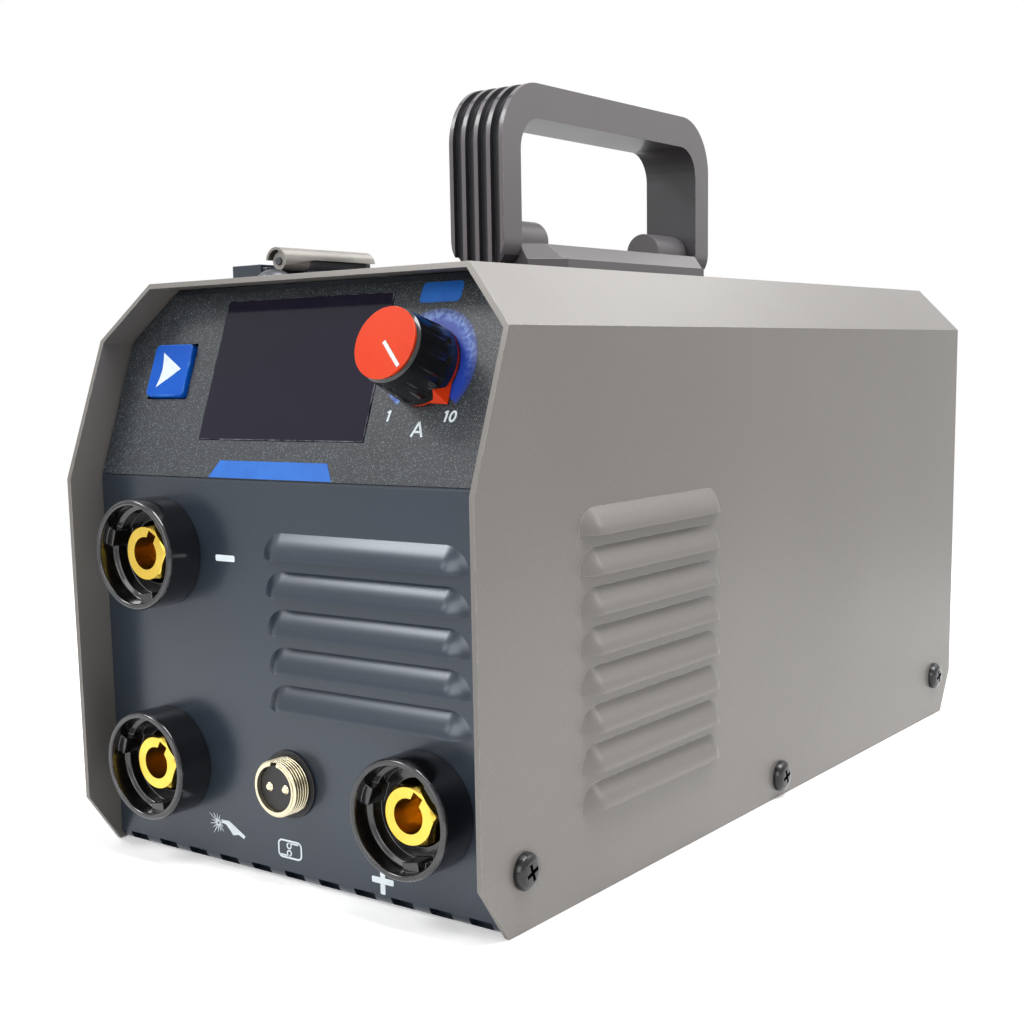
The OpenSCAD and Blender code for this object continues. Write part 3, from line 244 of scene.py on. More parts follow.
def surface(name, colour, vary=6, *, patch=25.0, grain=0.25, grain_scale=1500.0, rough=0.4, swing=0.08,
            relief=900.0, bump=0.1, height=0.02, metal=0.0, coat=0.0, coat_rough=0.1, worn=None, wear=0.3,
            flecks=None, fleck_scale=2200.0, fleck_amount=0.0, specular=0.5, painted_shade_colour=None, stretch=None, layer=None):
    """A procedural finish: mottled colour, flecks, rubbed edges, relief (height in mm) and a swinging gloss."""
    mat = bpy.data.materials.new(name)
    mat.use_nodes = True
    tree = mat.node_tree
    shader = tree.nodes["Principled BSDF"]
    where = tree.nodes.new("ShaderNodeTexCoord").outputs["Object"]
    grained = where
    if stretch:
        mapping = tree.nodes.new("ShaderNodeMapping")
        mapping.inputs["Scale"].default_value = stretch
        link(tree, where, mapping.inputs["Vector"])
        grained = mapping.outputs["Vector"]
    tint = place_group(tree, MOTTLE, grained, Colour=shade(colour, -vary / 2),
                       Second_Colour=shade(colour, vary / 2), Patch_Scale=patch, Grain_Scale=grain_scale,
                       Grain=grain).outputs["Colour"]
    if flecks:
        tint = place_group(tree, FLECKS, where, Colour=tint, Fleck_Colour=linear(*flecks), Scale=fleck_scale,
                           Amount=fleck_amount).outputs["Colour"]
    if layer:
        tint = layer(tree, where, tint)
    # painted shade: the colour is pulled towards the painted shade colour where a face carries the painted shade mask
    if painted_shade_colour:
        tint = mix_colour(tree, attribute(tree, "painted_shade_mask"), tint, linear(*painted_shade_colour))
    if worn:
        tint = place_group(tree, WEAR, where, Edge=attribute(tree, "edge"), Colour=tint, Worn_Colour=linear(*worn),
                           Amount=wear).outputs["Colour"]
    link(tree, tint, shader.inputs["Base Color"])
    relief_node = place_group(tree, RELIEF, grained, Scale=relief, Roughness=rough, Roughness_Swing=swing)
    link(tree, relief_node.outputs["Roughness"], shader.inputs["Roughness"])
    bump_node = tree.nodes.new("ShaderNodeBump")
    bump_node.inputs["Strength"].default_value = bump
    bump_node.inputs["Distance"].default_value = height * MM
    link(tree, relief_node.outputs["Height"], bump_node.inputs["Height"])
    link(tree, bump_node.outputs["Normal"], shader.inputs["Normal"])
    shader.inputs["Metallic"].default_value = metal
    shader.inputs["Specular IOR Level"].default_value = specular
    shader.inputs["Coat Weight"].default_value = coat
    shader.inputs["Coat Roughness"].default_value = coat_rough
    return mat


def board_traces(tree, where, tint):
    """Pale solder lands and darker tracks on a circuit board."""
    brick = tree.nodes.new("ShaderNodeTexBrick")
    link(tree, where, brick.inputs["Vector"])
    brick.inputs["Scale"].default_value = 190.0
    brick.inputs["Mortar Size"].default_value = 0.035
    brick.inputs["Color1"].default_value = linear(30, 96, 62)
    brick.inputs["Color2"].default_value = linear(22, 80, 52)
    brick.inputs["Mortar"].default_value = linear(70, 132, 92)
    lands = ramp(tree, noise_node(tree, where, 420.0, 0.0), 0.68, 0.7)
    return mix_colour(tree, lands, mix_colour(tree, 0.6, tint, brick.outputs["Color"]), linear(176, 180, 172))


def crescent_ink_and_painted_light(tree, where, tint):
    """The dial's blue band: deep blue ink with a painted highlight that grows lighter towards its outer edge and is
    left out near its end, which stays deep as painted shadow of the knob; the band fades into the film at its outer
    edge.
    """
    sweep, reach = attribute(tree, "sweep"), attribute(tree, "reach")
    # painted highlight towards the outer edge, none near the end, where the knob's painted shadow keeps the ink deep
    pale = math_node(tree, "MULTIPLY", ramp(tree, reach, 0.15, 0.6),
                     math_node(tree, "SUBTRACT", 1.0, ramp(tree, sweep, 0.7, 0.95)))
    speckle = ramp(tree, noise_node(tree, where, 900.0, 3.0), 0.35, 0.7)
    tone = mix_colour(tree, math_node(tree, "MULTIPLY", pale, speckle), linear(22, 62, 170), linear(128, 162, 222))
    tone = mix_colour(tree, ramp(tree, sweep, 0.02, 0.0), tone, linear(120, 164, 232))
    faded = mix_colour(tree, 0.55, tone, linear(56, 60, 70))
    return mix_colour(tree, ramp(tree, reach, 0.55, 1.0), tone, faded)


def powder_coat(name, wear):
    """The cover's warm grey coat, rubbed at its edges by the amount of wear."""
    return surface(name, (121, 117, 113), 5, patch=7, rough=0.36, swing=0.05, relief=1500, bump=0.10, metal=0.18,
                   coat=0.08, specular=0.35, coat_rough=0.25, worn=(208, 203, 196), wear=wear,
                   flecks=(170, 165, 158), fleck_scale=2400, fleck_amount=0.12)


COVER, DOOR = powder_coat("cover powder coat", 0.45), powder_coat("door powder coat", 0.08)
FRONT = surface("graphite paint", (45, 54, 66), 5, patch=9, rough=0.29, swing=0.06, relief=1400, bump=0.1,
                metal=0.3, coat=0.3, coat_rough=0.2, worn=(112, 118, 130), wear=0.35, flecks=(84, 92, 106),
                fleck_scale=2600, fleck_amount=0.15)
BARE_SHEET = surface("zinc sheet", (150, 153, 157), 7, patch=60, grain=0.6, rough=0.40, swing=0.05, relief=700,
                     metal=0.85, bump=0.06, worn=(225, 226, 228))
SPARKLE = surface("sparkle film", (31, 35, 41), 8, patch=30, grain=0.7, grain_scale=3000, rough=0.40,
                  swing=0.06, relief=3000, bump=0.35, height=0.03, flecks=(168, 184, 186), fleck_scale=3600,
                  fleck_amount=0.5, coat=0.05)
WINDOW = surface("smoked window", (22, 18, 38), 5, patch=20, rough=0.10, swing=0.04, relief=600, bump=0.02,
                 specular=0.25, worn=(150, 150, 164), wear=0.8)
BUTTON = surface("button blue", (2, 86, 192), 8, patch=90, rough=0.36, swing=0.05, relief=1800, bump=0.06,
                 specular=0.2, worn=(96, 158, 240), wear=0.5)
GLOSS = surface("gloss black", (15, 15, 18), 4, patch=40, rough=0.18, swing=0.06, relief=900, bump=0.02,
                coat=0.5, coat_rough=0.06, worn=(96, 96, 104), wear=0.35)
MATT = surface("moulded black", (30, 30, 33), 6, patch=60, grain=0.5, rough=0.5, swing=0.1, relief=2200,
               bump=0.2, height=0.03, worn=(84, 84, 88))
ORANGE = surface("orange red", (216, 54, 6), 10, patch=50, rough=0.4, swing=0.06, relief=1600, bump=0.05,
                 specular=0.2, worn=(250, 140, 104), wear=0.4)
RED = surface("signal red", (190, 38, 30), 12, patch=60, rough=0.35, swing=0.06, relief=1600, bump=0.06,
              coat=0.2, worn=(236, 110, 92))
BRASS = surface("turned brass", (226, 192, 84), 14, patch=120, grain=0.5, rough=0.22, swing=0.1, relief=500,
                bump=0.06, metal=1.0, stretch=(1, 6, 1), worn=(244, 224, 140), wear=0.5)
NICKEL = surface("warm nickel", (214, 205, 178), 12, patch=110, grain=0.4, rough=0.2, swing=0.1, relief=700,
                 bump=0.05, metal=1.0, worn=(250, 246, 232), wear=0.5)
STEEL = surface("bright steel", (182, 180, 177), 16, patch=70, grain=0.5, rough=0.32, swing=0.12, relief=600,
                bump=0.06, metal=0.95, stretch=(1, 8, 1), worn=(235, 235, 234), wear=0.4)
LATCH_STEEL = surface("rolled lever steel", (150, 146, 141), 14, patch=60, grain=0.6, rough=0.42, swing=0.12,
                      relief=900, bump=0.1, metal=0.7, worn=(226, 222, 216), wear=0.6)
# darker steel for the latch base and pin, partly painted shade for the dark gap under the lever
LATCH_DARK_AND_SHADE = surface("latch base steel", (84, 86, 92), 12, patch=60, grain=0.6, rough=0.4, swing=0.12,
                     relief=900, bump=0.1, metal=0.6, worn=(180, 178, 174), wear=0.5)
BLACK_STEEL = surface("black screw", (20, 20, 22), 6, patch=90, rough=0.24, swing=0.1, relief=900, bump=0.05,
                      metal=0.4, coat=0.3, worn=(120, 120, 126), wear=0.5)
# the handle's colour (34, 33, 38) is painted shade, laid into its grooves and the inside of its grip
HANDLE = surface("handle moulding", (100, 95, 98), 6, patch=16, grain=0.5, grain_scale=2000, rough=0.40,
                 swing=0.08, relief=2200, bump=0.16, height=0.03, painted_shade_colour=(34, 33, 38), worn=(176, 174, 178),
                 wear=0.55, coat=0.25)
HANDLE_BASE = surface("handle base moulding", (96, 92, 95), 6, patch=16, grain=0.5, rough=0.44, swing=0.08,
                      relief=2200, bump=0.16, height=0.03, worn=(142, 140, 144))
HINGE = surface("hinge paint", (134, 129, 124), 8, patch=50, rough=0.42, relief=1500, bump=0.1, metal=0.5,
                worn=(206, 200, 192), wear=0.5)
ALLOY = surface("extruded alloy", (184, 187, 190), 16, patch=60, grain=0.6, rough=0.34, swing=0.12, relief=500,
                bump=0.08, metal=0.95, stretch=(8, 1, 8), worn=(230, 232, 234), wear=0.4)
MOTOR = surface("motor grey", (96, 100, 105), 12, patch=60, grain=0.5, rough=0.45, relief=1200, bump=0.15,
                metal=0.4, worn=(160, 164, 170))
BOARD = surface("circuit board", (30, 96, 64), 8, patch=50, grain=0.4, rough=0.35, relief=900, bump=0.1,
                layer=board_traces)
SLEEVE = surface("capacitor sleeve", (34, 48, 76), 8, patch=60, rough=0.3, relief=900, bump=0.05, coat=0.3,
                 worn=(150, 156, 168), wear=0.4)
WHITE_INK = surface("white ink", (228, 238, 242), 8, patch=300, grain=0.5, rough=0.42, relief=2400, bump=0.1)
BLUE_INK = surface("blue ink", (24, 104, 198), 10, patch=160, grain=0.5, rough=0.4, relief=2400, bump=0.1)
# dial ink with a painted highlight and a painted shadow of the knob
DIAL_INK = surface("dial ink", (34, 78, 190), 10, patch=160, grain=0.4, rough=0.42, relief=2400, bump=0.1,
                   layer=crescent_ink_and_painted_light)

SLOT_FINISH = {
    "cover_paint": COVER, "chassis_paint": FRONT, "bare_sheet": BARE_SHEET, "overlay": SPARKLE, "window": WINDOW,
    "circuit": BOARD, "button_blue": BUTTON, "black_plastic": MATT, "gloss_black": GLOSS, "orange": ORANGE,
    "red_plastic": RED, "brass": BRASS, "nickel": NICKEL, "steel": STEEL, "black_steel": BLACK_STEEL,
    "handle_plastic": HANDLE, "base_plastic": HANDLE_BASE, "hinge_paint": HINGE, "alloy": ALLOY,
    "motor_steel": MOTOR, "sleeve": SLEEVE,
}
NODE_FINISH = {"latch_lever": LATCH_STEEL, "latch_base": LATCH_DARK_AND_SHADE, "latch_pin": LATCH_DARK_AND_SHADE, "door_panel": DOOR}
slot_of = {part["node"]: part["material_slot"] for part in record["subparts"]}

# ------------------------------------------------------------------- meshes


NORMAL_WEIGHT = 50  # 50 weighs faces by their area alone
CLOSE = 2e-6  # vertices nearer than this, in metres, are one
FLAT = 0.6  # faces within this angle, in degrees, are joined


def weighted(mesh):
    """The mesh with normals that let its large flat faces stay flat."""
    holder = bpy.data.objects.new("holder", mesh)
    bpy.context.scene.collection.objects.link(holder)
    mod = holder.modifiers.new("normals", "WEIGHTED_NORMAL")
    mod.keep_sharp = True
    mod.weight = NORMAL_WEIGHT
    done = bpy.data.meshes.new_from_object(holder.evaluated_get(bpy.context.evaluated_depsgraph_get()))
    bpy.data.objects.remove(holder)
    bpy.data.meshes.remove(mesh)
    return done


# Edges flatter than these, in degrees, are shaded smooth
USUAL_SMOOTH, LOUVRE_SMOOTH, PRINT_SMOOTH = 35.0, 28.0, 30.0


def piece(name, bm, material, body, smooth=USUAL_SMOOTH, stands_for=()):
    """A finished object from a bmesh, riding on a body."""
    bmesh.ops.recalc_face_normals(bm, faces=bm.faces)
    mesh = bpy.data.meshes.new(name + "_raw")
    bm.to_mesh(mesh)
    bm.free()
    mesh.shade_smooth()
    mesh.set_sharp_from_angle(angle=math.radians(smooth))
    mesh.materials.append(material)
    mesh = weighted(mesh)
    mesh.name = name
    obj = bpy.data.objects.new(name, mesh)
    bpy.context.scene.collection.objects.link(obj)
    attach(obj, body)
    if stands_for:
        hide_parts(*stands_for)


def clean_copy(node):
    """A merged copy of a CAD node's mesh with its flat faces joined."""
    bm = bmesh.new()
    bm.from_mesh(nodes[node].data)
    bmesh.ops.remove_doubles(bm, verts=bm.verts, dist=CLOSE)
    bmesh.ops.dissolve_limit(bm, angle_limit=math.radians(FLAT), verts=bm.verts, edges=bm.edges)
    return bm


SHARP = 28.0  # edges with a larger angle between their faces, in degrees, are rounded


def break_edges(bm, rounds):
    """Rounds the sharp edges: rounds holds (width in mm, segments, test on an edge's middle)."""
    edge_mark = bm.faces.layers.float.get("edge") or bm.faces.layers.float.new("edge")
    for width, segments, test in rounds:
        chosen = [e for e in bm.edges if len(e.link_faces) == 2 and e.calc_face_angle(0) > math.radians(SHARP)
                  and not any(f[edge_mark] for f in e.link_faces)
                  and (test is None or test((e.verts[0].co + e.verts[1].co) / 2))]
        if chosen:
            made = bmesh.ops.bevel(bm, geom=chosen, offset=width * MM, offset_type="OFFSET", segments=segments,
                                   profile=0.5, affect="EDGES", clamp_overlap=True)
            for f in made["faces"]:
                f[edge_mark] = 1.0


GROOVE_X = (-7.2, -2.4, 2.4, 7.2)  # middles of the handle's grip grooves, in mm
GROOVE_HALF = 1.65
GRIP_WALL = 5 * MM  # faces nearer than this to the handle's outside are not inside the grip
INSIDE_SHADE = 0.8  # how far the inside of the grip takes the painted shade of the grooves


def paint_groove_shade(bm):
    """Paints shade into the floors and walls of the grip grooves, in full, and into the inside of the grip, in part.
    """
    painted_shade_mask = bm.faces.layers.float.new("painted_shade_mask")
    low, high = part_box("handle_loop")
    for f in bm.faces:
        at = f.calc_center_median()
        in_groove = min(abs(at.x / MM - c) for c in GROOVE_X) < GROOVE_HALF + 0.02
        inside = abs(f.normal.x) < 0.5 and low.y + GRIP_WALL < at.y < high.y - GRIP_WALL and at.z < high.z - GRIP_WALL
        f[painted_shade_mask] = 1.0 if in_groove else INSIDE_SHADE if inside else 0.0


def rounded_copy(node, rounds):
    """A CAD node's own shape with its edges broken and its finish on."""
    bm = clean_copy(node)
    # painted shade for the handle's grooves and the inside of its grip
    if node == "handle_loop":
        paint_groove_shade(bm)
    smooth = LOUVRE_SMOOTH if node in ("cover", "front_panel") else USUAL_SMOOTH
    break_edges(bm, rounds)
    finish = NODE_FINISH.get(node, SLOT_FINISH[slot_of[node]])
    piece(node + "_finished", bm, finish, body_with[node], smooth, [node])


USUAL_ROUND = 0.2  # width of a broken edge, in mm, where the table below has no other
EDGE_ROUND = {
    "cover": 0.25, "front_panel": 0.25, "base_tray": 0.25, "rear_panel": 0.25, "divider": 0.25, "mode_button": 0.5,
    "knob_body": 0.25, "knob_cap": 0.3, "knob_skirt": 0.15, "socket_collars": 0.3, "socket_contacts": 0.25,
    "control_shell": 0.1, "control_pins": 0.12, "control_washer": 0.15, "cover_screws": 0.18, "handle_base": 0.5,
    "fold_pins": 0.3, "latch_lever": 0.15, "door_panel": 0.25, "door_catch": 0.35, "hinge_pins": 0.15,
    "drive_block": 0.6, "gear_motor": 0.5, "pressure_arm": 0.3, "arm_pin": 0.3, "tension_knob": 0.3,
    "hub_spindle": 0.3, "spool_hub": 0.4, "hub_nut": 0.3, "main_board": 0.15, "transformer": 0.5,
    "capacitors": 0.3, "fan_frame": 0.4, "fan_rotor": 0.25, "fan_guard": 0.0, "fan_screws": 0.15,
    "switch_body": 0.4, "switch_rocker": 0.5, "cable_gland": 0.4, "earth_bolt": 0.25, "potentiometer": 0.25,
    "socket_nuts": 0.3, "display_board": 0.15, "panel_overlay": 0.1,
}

# ----------------------------------------------------------- repeated pieces


def copies_tree():
    """Geometry nodes that set a piece on every place, turned and sized by the places' own values."""
    tree = bpy.data.node_groups.new("set copies", "GeometryNodeTree")
    for label, kind in (("Places", "Geometry"), ("Piece", "Object"), ("Finish", "Material")):
        tree.interface.new_socket(name=label, in_out="INPUT", socket_type="NodeSocket" + kind)
    tree.interface.new_socket(name="Copies", in_out="OUTPUT", socket_type="NodeSocketGeometry")
    inputs, output = tree.nodes.new("NodeGroupInput"), tree.nodes.new("NodeGroupOutput")
    info, put = tree.nodes.new("GeometryNodeObjectInfo"), tree.nodes.new("GeometryNodeInstanceOnPoints")
    real, paint = tree.nodes.new("GeometryNodeRealizeInstances"), tree.nodes.new("GeometryNodeSetMaterial")
    to_turn = tree.nodes.new("FunctionNodeEulerToRotation")
    turn, size = (tree.nodes.new("GeometryNodeInputNamedAttribute") for _ in range(2))
    for n, name in ((turn, "turn"), (size, "size")):
        n.data_type = "FLOAT_VECTOR"
        n.inputs["Name"].default_value = name
    link(tree, inputs.outputs["Places"], put.inputs["Points"])
    link(tree, inputs.outputs["Piece"], info.inputs["Object"])
    link(tree, info.outputs["Geometry"], put.inputs["Instance"])
    link(tree, turn.outputs["Attribute"], to_turn.inputs[0])
    link(tree, to_turn.outputs[0], put.inputs["Rotation"])
    link(tree, size.outputs["Attribute"], put.inputs["Scale"])
    link(tree, put.outputs["Instances"], real.inputs["Geometry"])
    link(tree, real.outputs["Geometry"], paint.inputs["Geometry"])
    link(tree, inputs.outputs["Finish"], paint.inputs["Material"])
    link(tree, paint.outputs["Geometry"], output.inputs["Copies"])
    return tree


def evaluated(tree, base_mesh, part_bm, material):
    """The bmesh that a tree makes from a base mesh and a small part."""
    part_mesh = bpy.data.meshes.new("part")
    bmesh.ops.recalc_face_normals(part_bm, faces=part_bm.faces)
    part_bm.to_mesh(part_mesh)
    part_bm.free()
    part = bpy.data.objects.new("part", part_mesh)
    holder = bpy.data.objects.new("holder", base_mesh)
    for obj in (part, holder):
        bpy.context.scene.collection.objects.link(obj)
    named = {item.name: item.identifier for item in tree.interface.items_tree if item.in_out == "INPUT"}
    mod = holder.modifiers.new("copies", "NODES")
    mod.node_group = tree
    mod[named["Piece"]], mod[named["Finish"]] = part, material
    mesh = bpy.data.meshes.new_from_object(holder.evaluated_get(bpy.context.evaluated_depsgraph_get()))
    for obj in (holder, part):
        bpy.data.objects.remove(obj)
    bm = bmesh.new()
    bm.from_mesh(mesh)
    bpy.data.meshes.remove(mesh)
    return bm


def repeated(name, part_bm, places, material, body, stands_for=(), smooth=USUAL_SMOOTH):
    """Copies of a small part: places holds a matrix and a size for each."""
    spots = bpy.data.meshes.new("places")
    spots.from_pydata([tuple(m.translation) for m, _ in places], [], [])
    turns = spots.attributes.new("turn", "FLOAT_VECTOR", "POINT")
    sizes = spots.attributes.new("size", "FLOAT_VECTOR", "POINT")
    for i, (m, size) in enumerate(places):
        turns.data[i].vector = m.to_euler("XYZ")
        sizes.data[i].vector = size
    piece(name, evaluated(COPIES, spots, part_bm, material), material, body, smooth, stands_for)


def solids_of(node):
    """A merged copy of a CAD node, and the set of vertices of each of its separate solids."""
    bm = clean_copy(node)
    left, solids = set(bm.verts), []
    while left:
        grown, waiting = set(), [left.pop()]
        while waiting:
            v = waiting.pop()
            grown.add(v)
            for e in v.link_edges:
                other = e.other_vert(v)
                if other in left:
                    left.remove(other)
                    waiting.append(other)
        solids.append(grown)
    return bm, solids


def centre_of(solid):
    """Middle of the box round a set of vertices."""
    return Vector([(min(v.co[k] for v in solid) + max(v.co[k] for v in solid)) / 2 for k in range(3)])


def copied_solids(node, width, turned):
    """Equal solids made as copies of the first, finished once; turned gives each one's turn about Z."""
    bm, solids = solids_of(node)
    solids.sort(key=lambda solid: tuple(-round(v, 5) for v in centre_of(solid)))
    centres = [centre_of(solid) for solid in solids]
    bmesh.ops.delete(bm, geom=[v for solid in solids[1:] for v in solid], context="VERTS")
    bmesh.ops.translate(bm, verts=bm.verts, vec=-centres[0])
    break_edges(bm, [(width, 2, None)])
    places = [(Matrix.Translation(c) @ Matrix.Rotation(turned(c), 4, "Z"), (1, 1, 1)) for c in centres]
    repeated(node + "_finished", bm, places, SLOT_FINISH[slot_of[node]], body_with[node], [node])


def facing_out(centre):
    """Turn of a side wall's screw, which faces right on the right wall and left on the left one."""
    return 0 if centre.x > 0 else math.pi


def unturned(centre):
    return 0


COPIES = copies_tree()
COPIED = {
    "cover_screws": facing_out, "socket_collars": unturned, "socket_contacts": unturned, "socket_nuts": unturned,
    "fan_screws": unturned, "handle_screws": unturned, "capacitors": unturned,
}

HANDLE_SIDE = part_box("handle_loop")[1].x


def on_handle_flank(co):
    """Whether an edge's middle is where the handle's side faces meet its outer and window faces."""
    return abs(abs(co.x) - HANDLE_SIDE) < 0.2 * MM


HANDLE_ROUNDS = [(1.5, 3, on_handle_flank), (0.35, 2, None)]

# Every solid of the frame, with its edges broken and its own finish
for node_name in sorted(nodes):
    edge_width = EDGE_ROUND.get(node_name, USUAL_ROUND)
    if node_name in COPIED:
        copied_solids(node_name, edge_width, COPIED[node_name])
    elif node_name == "handle_loop":
        rounded_copy(node_name, HANDLE_ROUNDS)
    else:
        rounded_copy(node_name, [(edge_width, 2, None)] if edge_width else [])

# ------------------------------------------------------------------- prints


PRINT = 0.06  # thickness of the inks, in mm


def plate(bm, outline, frame_matrix, low, high):
    """A thin plate in mm: outline is its plan, low and high its heights over the frame."""
    bottom = [bm.verts.new(frame_matrix @ Vector((x * MM, y * MM, low * MM))) for x, y in outline]
    top = [bm.verts.new(frame_matrix @ Vector((x * MM, y * MM, high * MM))) for x, y in outline]
    bm.faces.new(top)
    bm.faces.new(bottom[::-1])
    for i in range(len(outline)):
        j = (i + 1) % len(outline)
        bm.faces.new((bottom[i], bottom[j], top[j], top[i]))


def band(bm, inner, outer, frame_matrix, low, high, closed=True):
    """A thin strip between two rows of points of equal length."""
    n = len(inner)
    for i in range(n if closed else n - 1):
        j = (i + 1) % n
        plate(bm, [inner[i], outer[i], outer[j], inner[j]], frame_matrix, low, high)
    bmesh.ops.remove_doubles(bm, verts=bm.verts, dist=1e-7)
    inside = [f for f in bm.faces if all(len(e.link_faces) > 2 for e in f.edges) and len(f.verts) == 4]
    bmesh.ops.delete(bm, geom=inside, context="FACES_ONLY")


def stroke(points, width):
    """Outline of a pen stroke through points."""
    left, right = [], []
    for i, p in enumerate(points):
        a = Vector(points[max(i - 1, 0)])
        b = Vector(points[min(i + 1, len(points) - 1)])
        d = (b - a).normalized()
        n = Vector((-d.y, d.x)) * width / 2
        left.append(tuple(Vector(p) + n))
        right.append(tuple(Vector(p) - n))
    return left + right[::-1]


def arc(cx, cy, rx, ry, a0, a1, steps):
    """Points round a centre from angle a0 to a1, in degrees."""
    angles = [math.radians(a0 + (a1 - a0) * i / steps) for i in range(steps + 1)]
    return [(cx + rx * math.cos(a), cy + ry * math.sin(a)) for a in angles]


def round_box(cx, cy, w, h, r, steps=5):
    """Outline of a box round a centre, with its corners rounded by r."""
    pts = []
    for sx, sy, a in ((1, 1, 0), (-1, 1, 90), (-1, -1, 180), (1, -1, 270)):
        pts += arc(cx + sx * (w / 2 - r), cy + sy * (h / 2 - r), r, r, a, a + 90, steps)
    return pts


def ring(cx, cy, inner, outer):
    """Inner and outer rows of a round line; inner and outer hold its radii across and up."""
    return tuple(arc(cx, cy, *radii, 0, 345, 23) for radii in (inner, outer))


def printed(name, frame_matrix, ink, plates, bands=(), body="case", low=0.0, high=PRINT):
    """Flat ink shapes on a face: plates are outlines, bands are pairs of rows, both in mm."""
    bm = bmesh.new()
    for outline in plates:
        plate(bm, outline, frame_matrix, low, high)
    for inner, outer in bands:
        band(bm, inner, outer, frame_matrix, low, high)
    piece(name, bm, ink, body, PRINT_SMOOTH)


def lean(points, slant=0.18, y0=0.0):
    """Points slanted to the right as they rise above y0."""
    return [(x + (y - y0) * slant, y) for x, y in points]


SLOPE = slope_frame(0, 0, FILM)
UPRIGHT = front_frame(0, 0)
button_low, button_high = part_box("mode_button")
BUTTON_X = (button_low.x + button_high.x) / 2
BUTTON_FACE = 2.0 * MM  # the mode button's face over the panel
KNOB_X, KNOB_S = KNOB_AT.x / MM, KNOB_RISE / MM
POINTER_TURN = -46  # the knob's pointer from the panel's right, in degrees
CAP_FACE = 17.8  # height of the knob's face over the panel, in mm
CAP_GROOVE = 0.45  # depth of the groove for the knob's white line, in mm

arrow = [(-3.9, 5.4), (-3.2, 2.6), (-2.9, 0.2), (-3.3, -2.6), (-4.1, -5.3), (4.9, 0.3)]
printed("button_arrow", slope_frame(BUTTON_X, KNOB_RISE, BUTTON_FACE), WHITE_INK, [arrow],
        body=body_with["mode_button"], low=-0.3, high=0.03)

# White line in the knob cap's groove
cap_frame = slope_frame(KNOB_X * MM, KNOB_RISE) @ Matrix.Rotation(math.radians(POINTER_TURN), 4, "Z")
printed("cap_line", cap_frame, WHITE_INK, [[(-0.45, -0.5), (8.5, -0.5), (8.5, 0.5), (-0.45, 0.5)]],
        body="knob", low=CAP_FACE - CAP_GROOVE, high=CAP_FACE - 0.08)

# Dial: a band that widens clockwise from its start, then numbers and unit
BAND_IN, BAND_OUT, BAND_GROWTH, BAND_STEPS = 10.9, 12.4, 3.4, 56
BAND_START, BAND_SWEEP = -124, 276  # in degrees
dial = bmesh.new()
rows = []
for i in range(BAND_STEPS + 1):
    t = i / BAND_STEPS
    ang = math.radians(BAND_START - BAND_SWEEP * t)
    outer = BAND_OUT + BAND_GROWTH * min(1.0, t * 1.5) + 0.5 * math.sin(math.pi * t)
    rows.append([(KNOB_X + r * math.cos(ang), KNOB_S + r * math.sin(ang)) for r in (BAND_IN, outer)])
band(dial, [row[0] for row in rows], [row[1] for row in rows], SLOPE, 0.0, 0.05, closed=False)
sweep_mark, reach_mark = dial.verts.layers.float.new("sweep"), dial.verts.layers.float.new("reach")
from_slope = SLOPE.inverted()
for v in dial.verts:
    flat = from_slope @ v.co / MM - Vector((KNOB_X, KNOB_S, 0))
    v[sweep_mark] = ((BAND_START - math.degrees(math.atan2(flat.y, flat.x))) % 360) / BAND_SWEEP
    v[reach_mark] = 0.0 if flat.xy.length < BAND_IN + 0.2 else 1.0
piece("dial_band", dial, DIAL_INK, "case", PRINT_SMOOTH)

NUMBER_FOOT = 17.6
numbers = [lean(stroke(points, width), y0=NUMBER_FOOT) for points, width in (
    ([(34.2, 17.6), (34.2, 20.6)], 0.62), ([(33.4, 20.0), (34.2, 20.5)], 0.5),
    ([(53.0, 17.6), (53.0, 20.6)], 0.62), ([(52.2, 20.0), (53.0, 20.5)], 0.5))]
unit = [stroke([(43.1, 13.6), (45.0, 17.5)], 0.66), stroke([(45.0, 17.6), (46.6, 13.6)], 0.66),
        stroke([(43.9, 14.9), (46.2, 14.9)], 0.55)]
zero = tuple(lean(row, y0=NUMBER_FOOT) for row in ring(55.1, 19.1, (0.55, 1.0), (1.15, 1.55)))
printed("dial_numbers", SLOPE, WHITE_INK, numbers + unit, [zero])
printed("blank_tag", SLOPE, BLUE_INK, [lean(round_box(43.4, 52.6, 13.4, 5.6, 1.2), 0.08, 52.6)])
printed("blank_strip", SLOPE, BLUE_INK, [[(-27.2, 0.9), (19.4, 0.9), (16.6, 5.9), (-23.9, 5.9)]])

# Marks by the sockets: plain bars for the poles, a torch with a burst of sparks, a wire feeder
plus = [round_box(32.9, 6.9, 7.6, 1.7, 0.4), round_box(32.9, 9.2, 1.7, 2.9, 0.3), round_box(32.9, 4.6, 1.7, 2.9, 0.3)]
torch = [(-28.6, 12.6), (-28.0, 13.4), (-25.4, 13.5), (-22.4, 11.9), (-18.9, 10.0), (-19.5, 9.1), (-21.6, 10.0),
         (-22.8, 9.7), (-23.9, 9.5), (-25.2, 10.9), (-26.6, 12.2)]
wires = [stroke([(-1.5, 11.1), (2.0, 11.1)], 0.45), stroke([(-5.0, 7.45), (-1.5, 7.45)], 0.45)]
rollers = [ring(-1.5, y, (0.55, 0.55), (0.98, 0.98)) for y in (10.35, 8.2)]
feeder_line = (round_box(-1.2, 9.3, 8.2, 4.4, 1.1), round_box(-1.2, 9.3, 9.2, 5.4, 1.6))
for name, plates, bands in (("minus_mark", [round_box(-22.1, 90.4, 7.6, 1.8, 0.5)], []), ("plus_mark", plus, []),
                            ("torch_mark", [torch], []), ("feeder_mark", wires, rollers + [feeder_line])):
    printed(name, UPRIGHT, WHITE_INK, plates, bands)

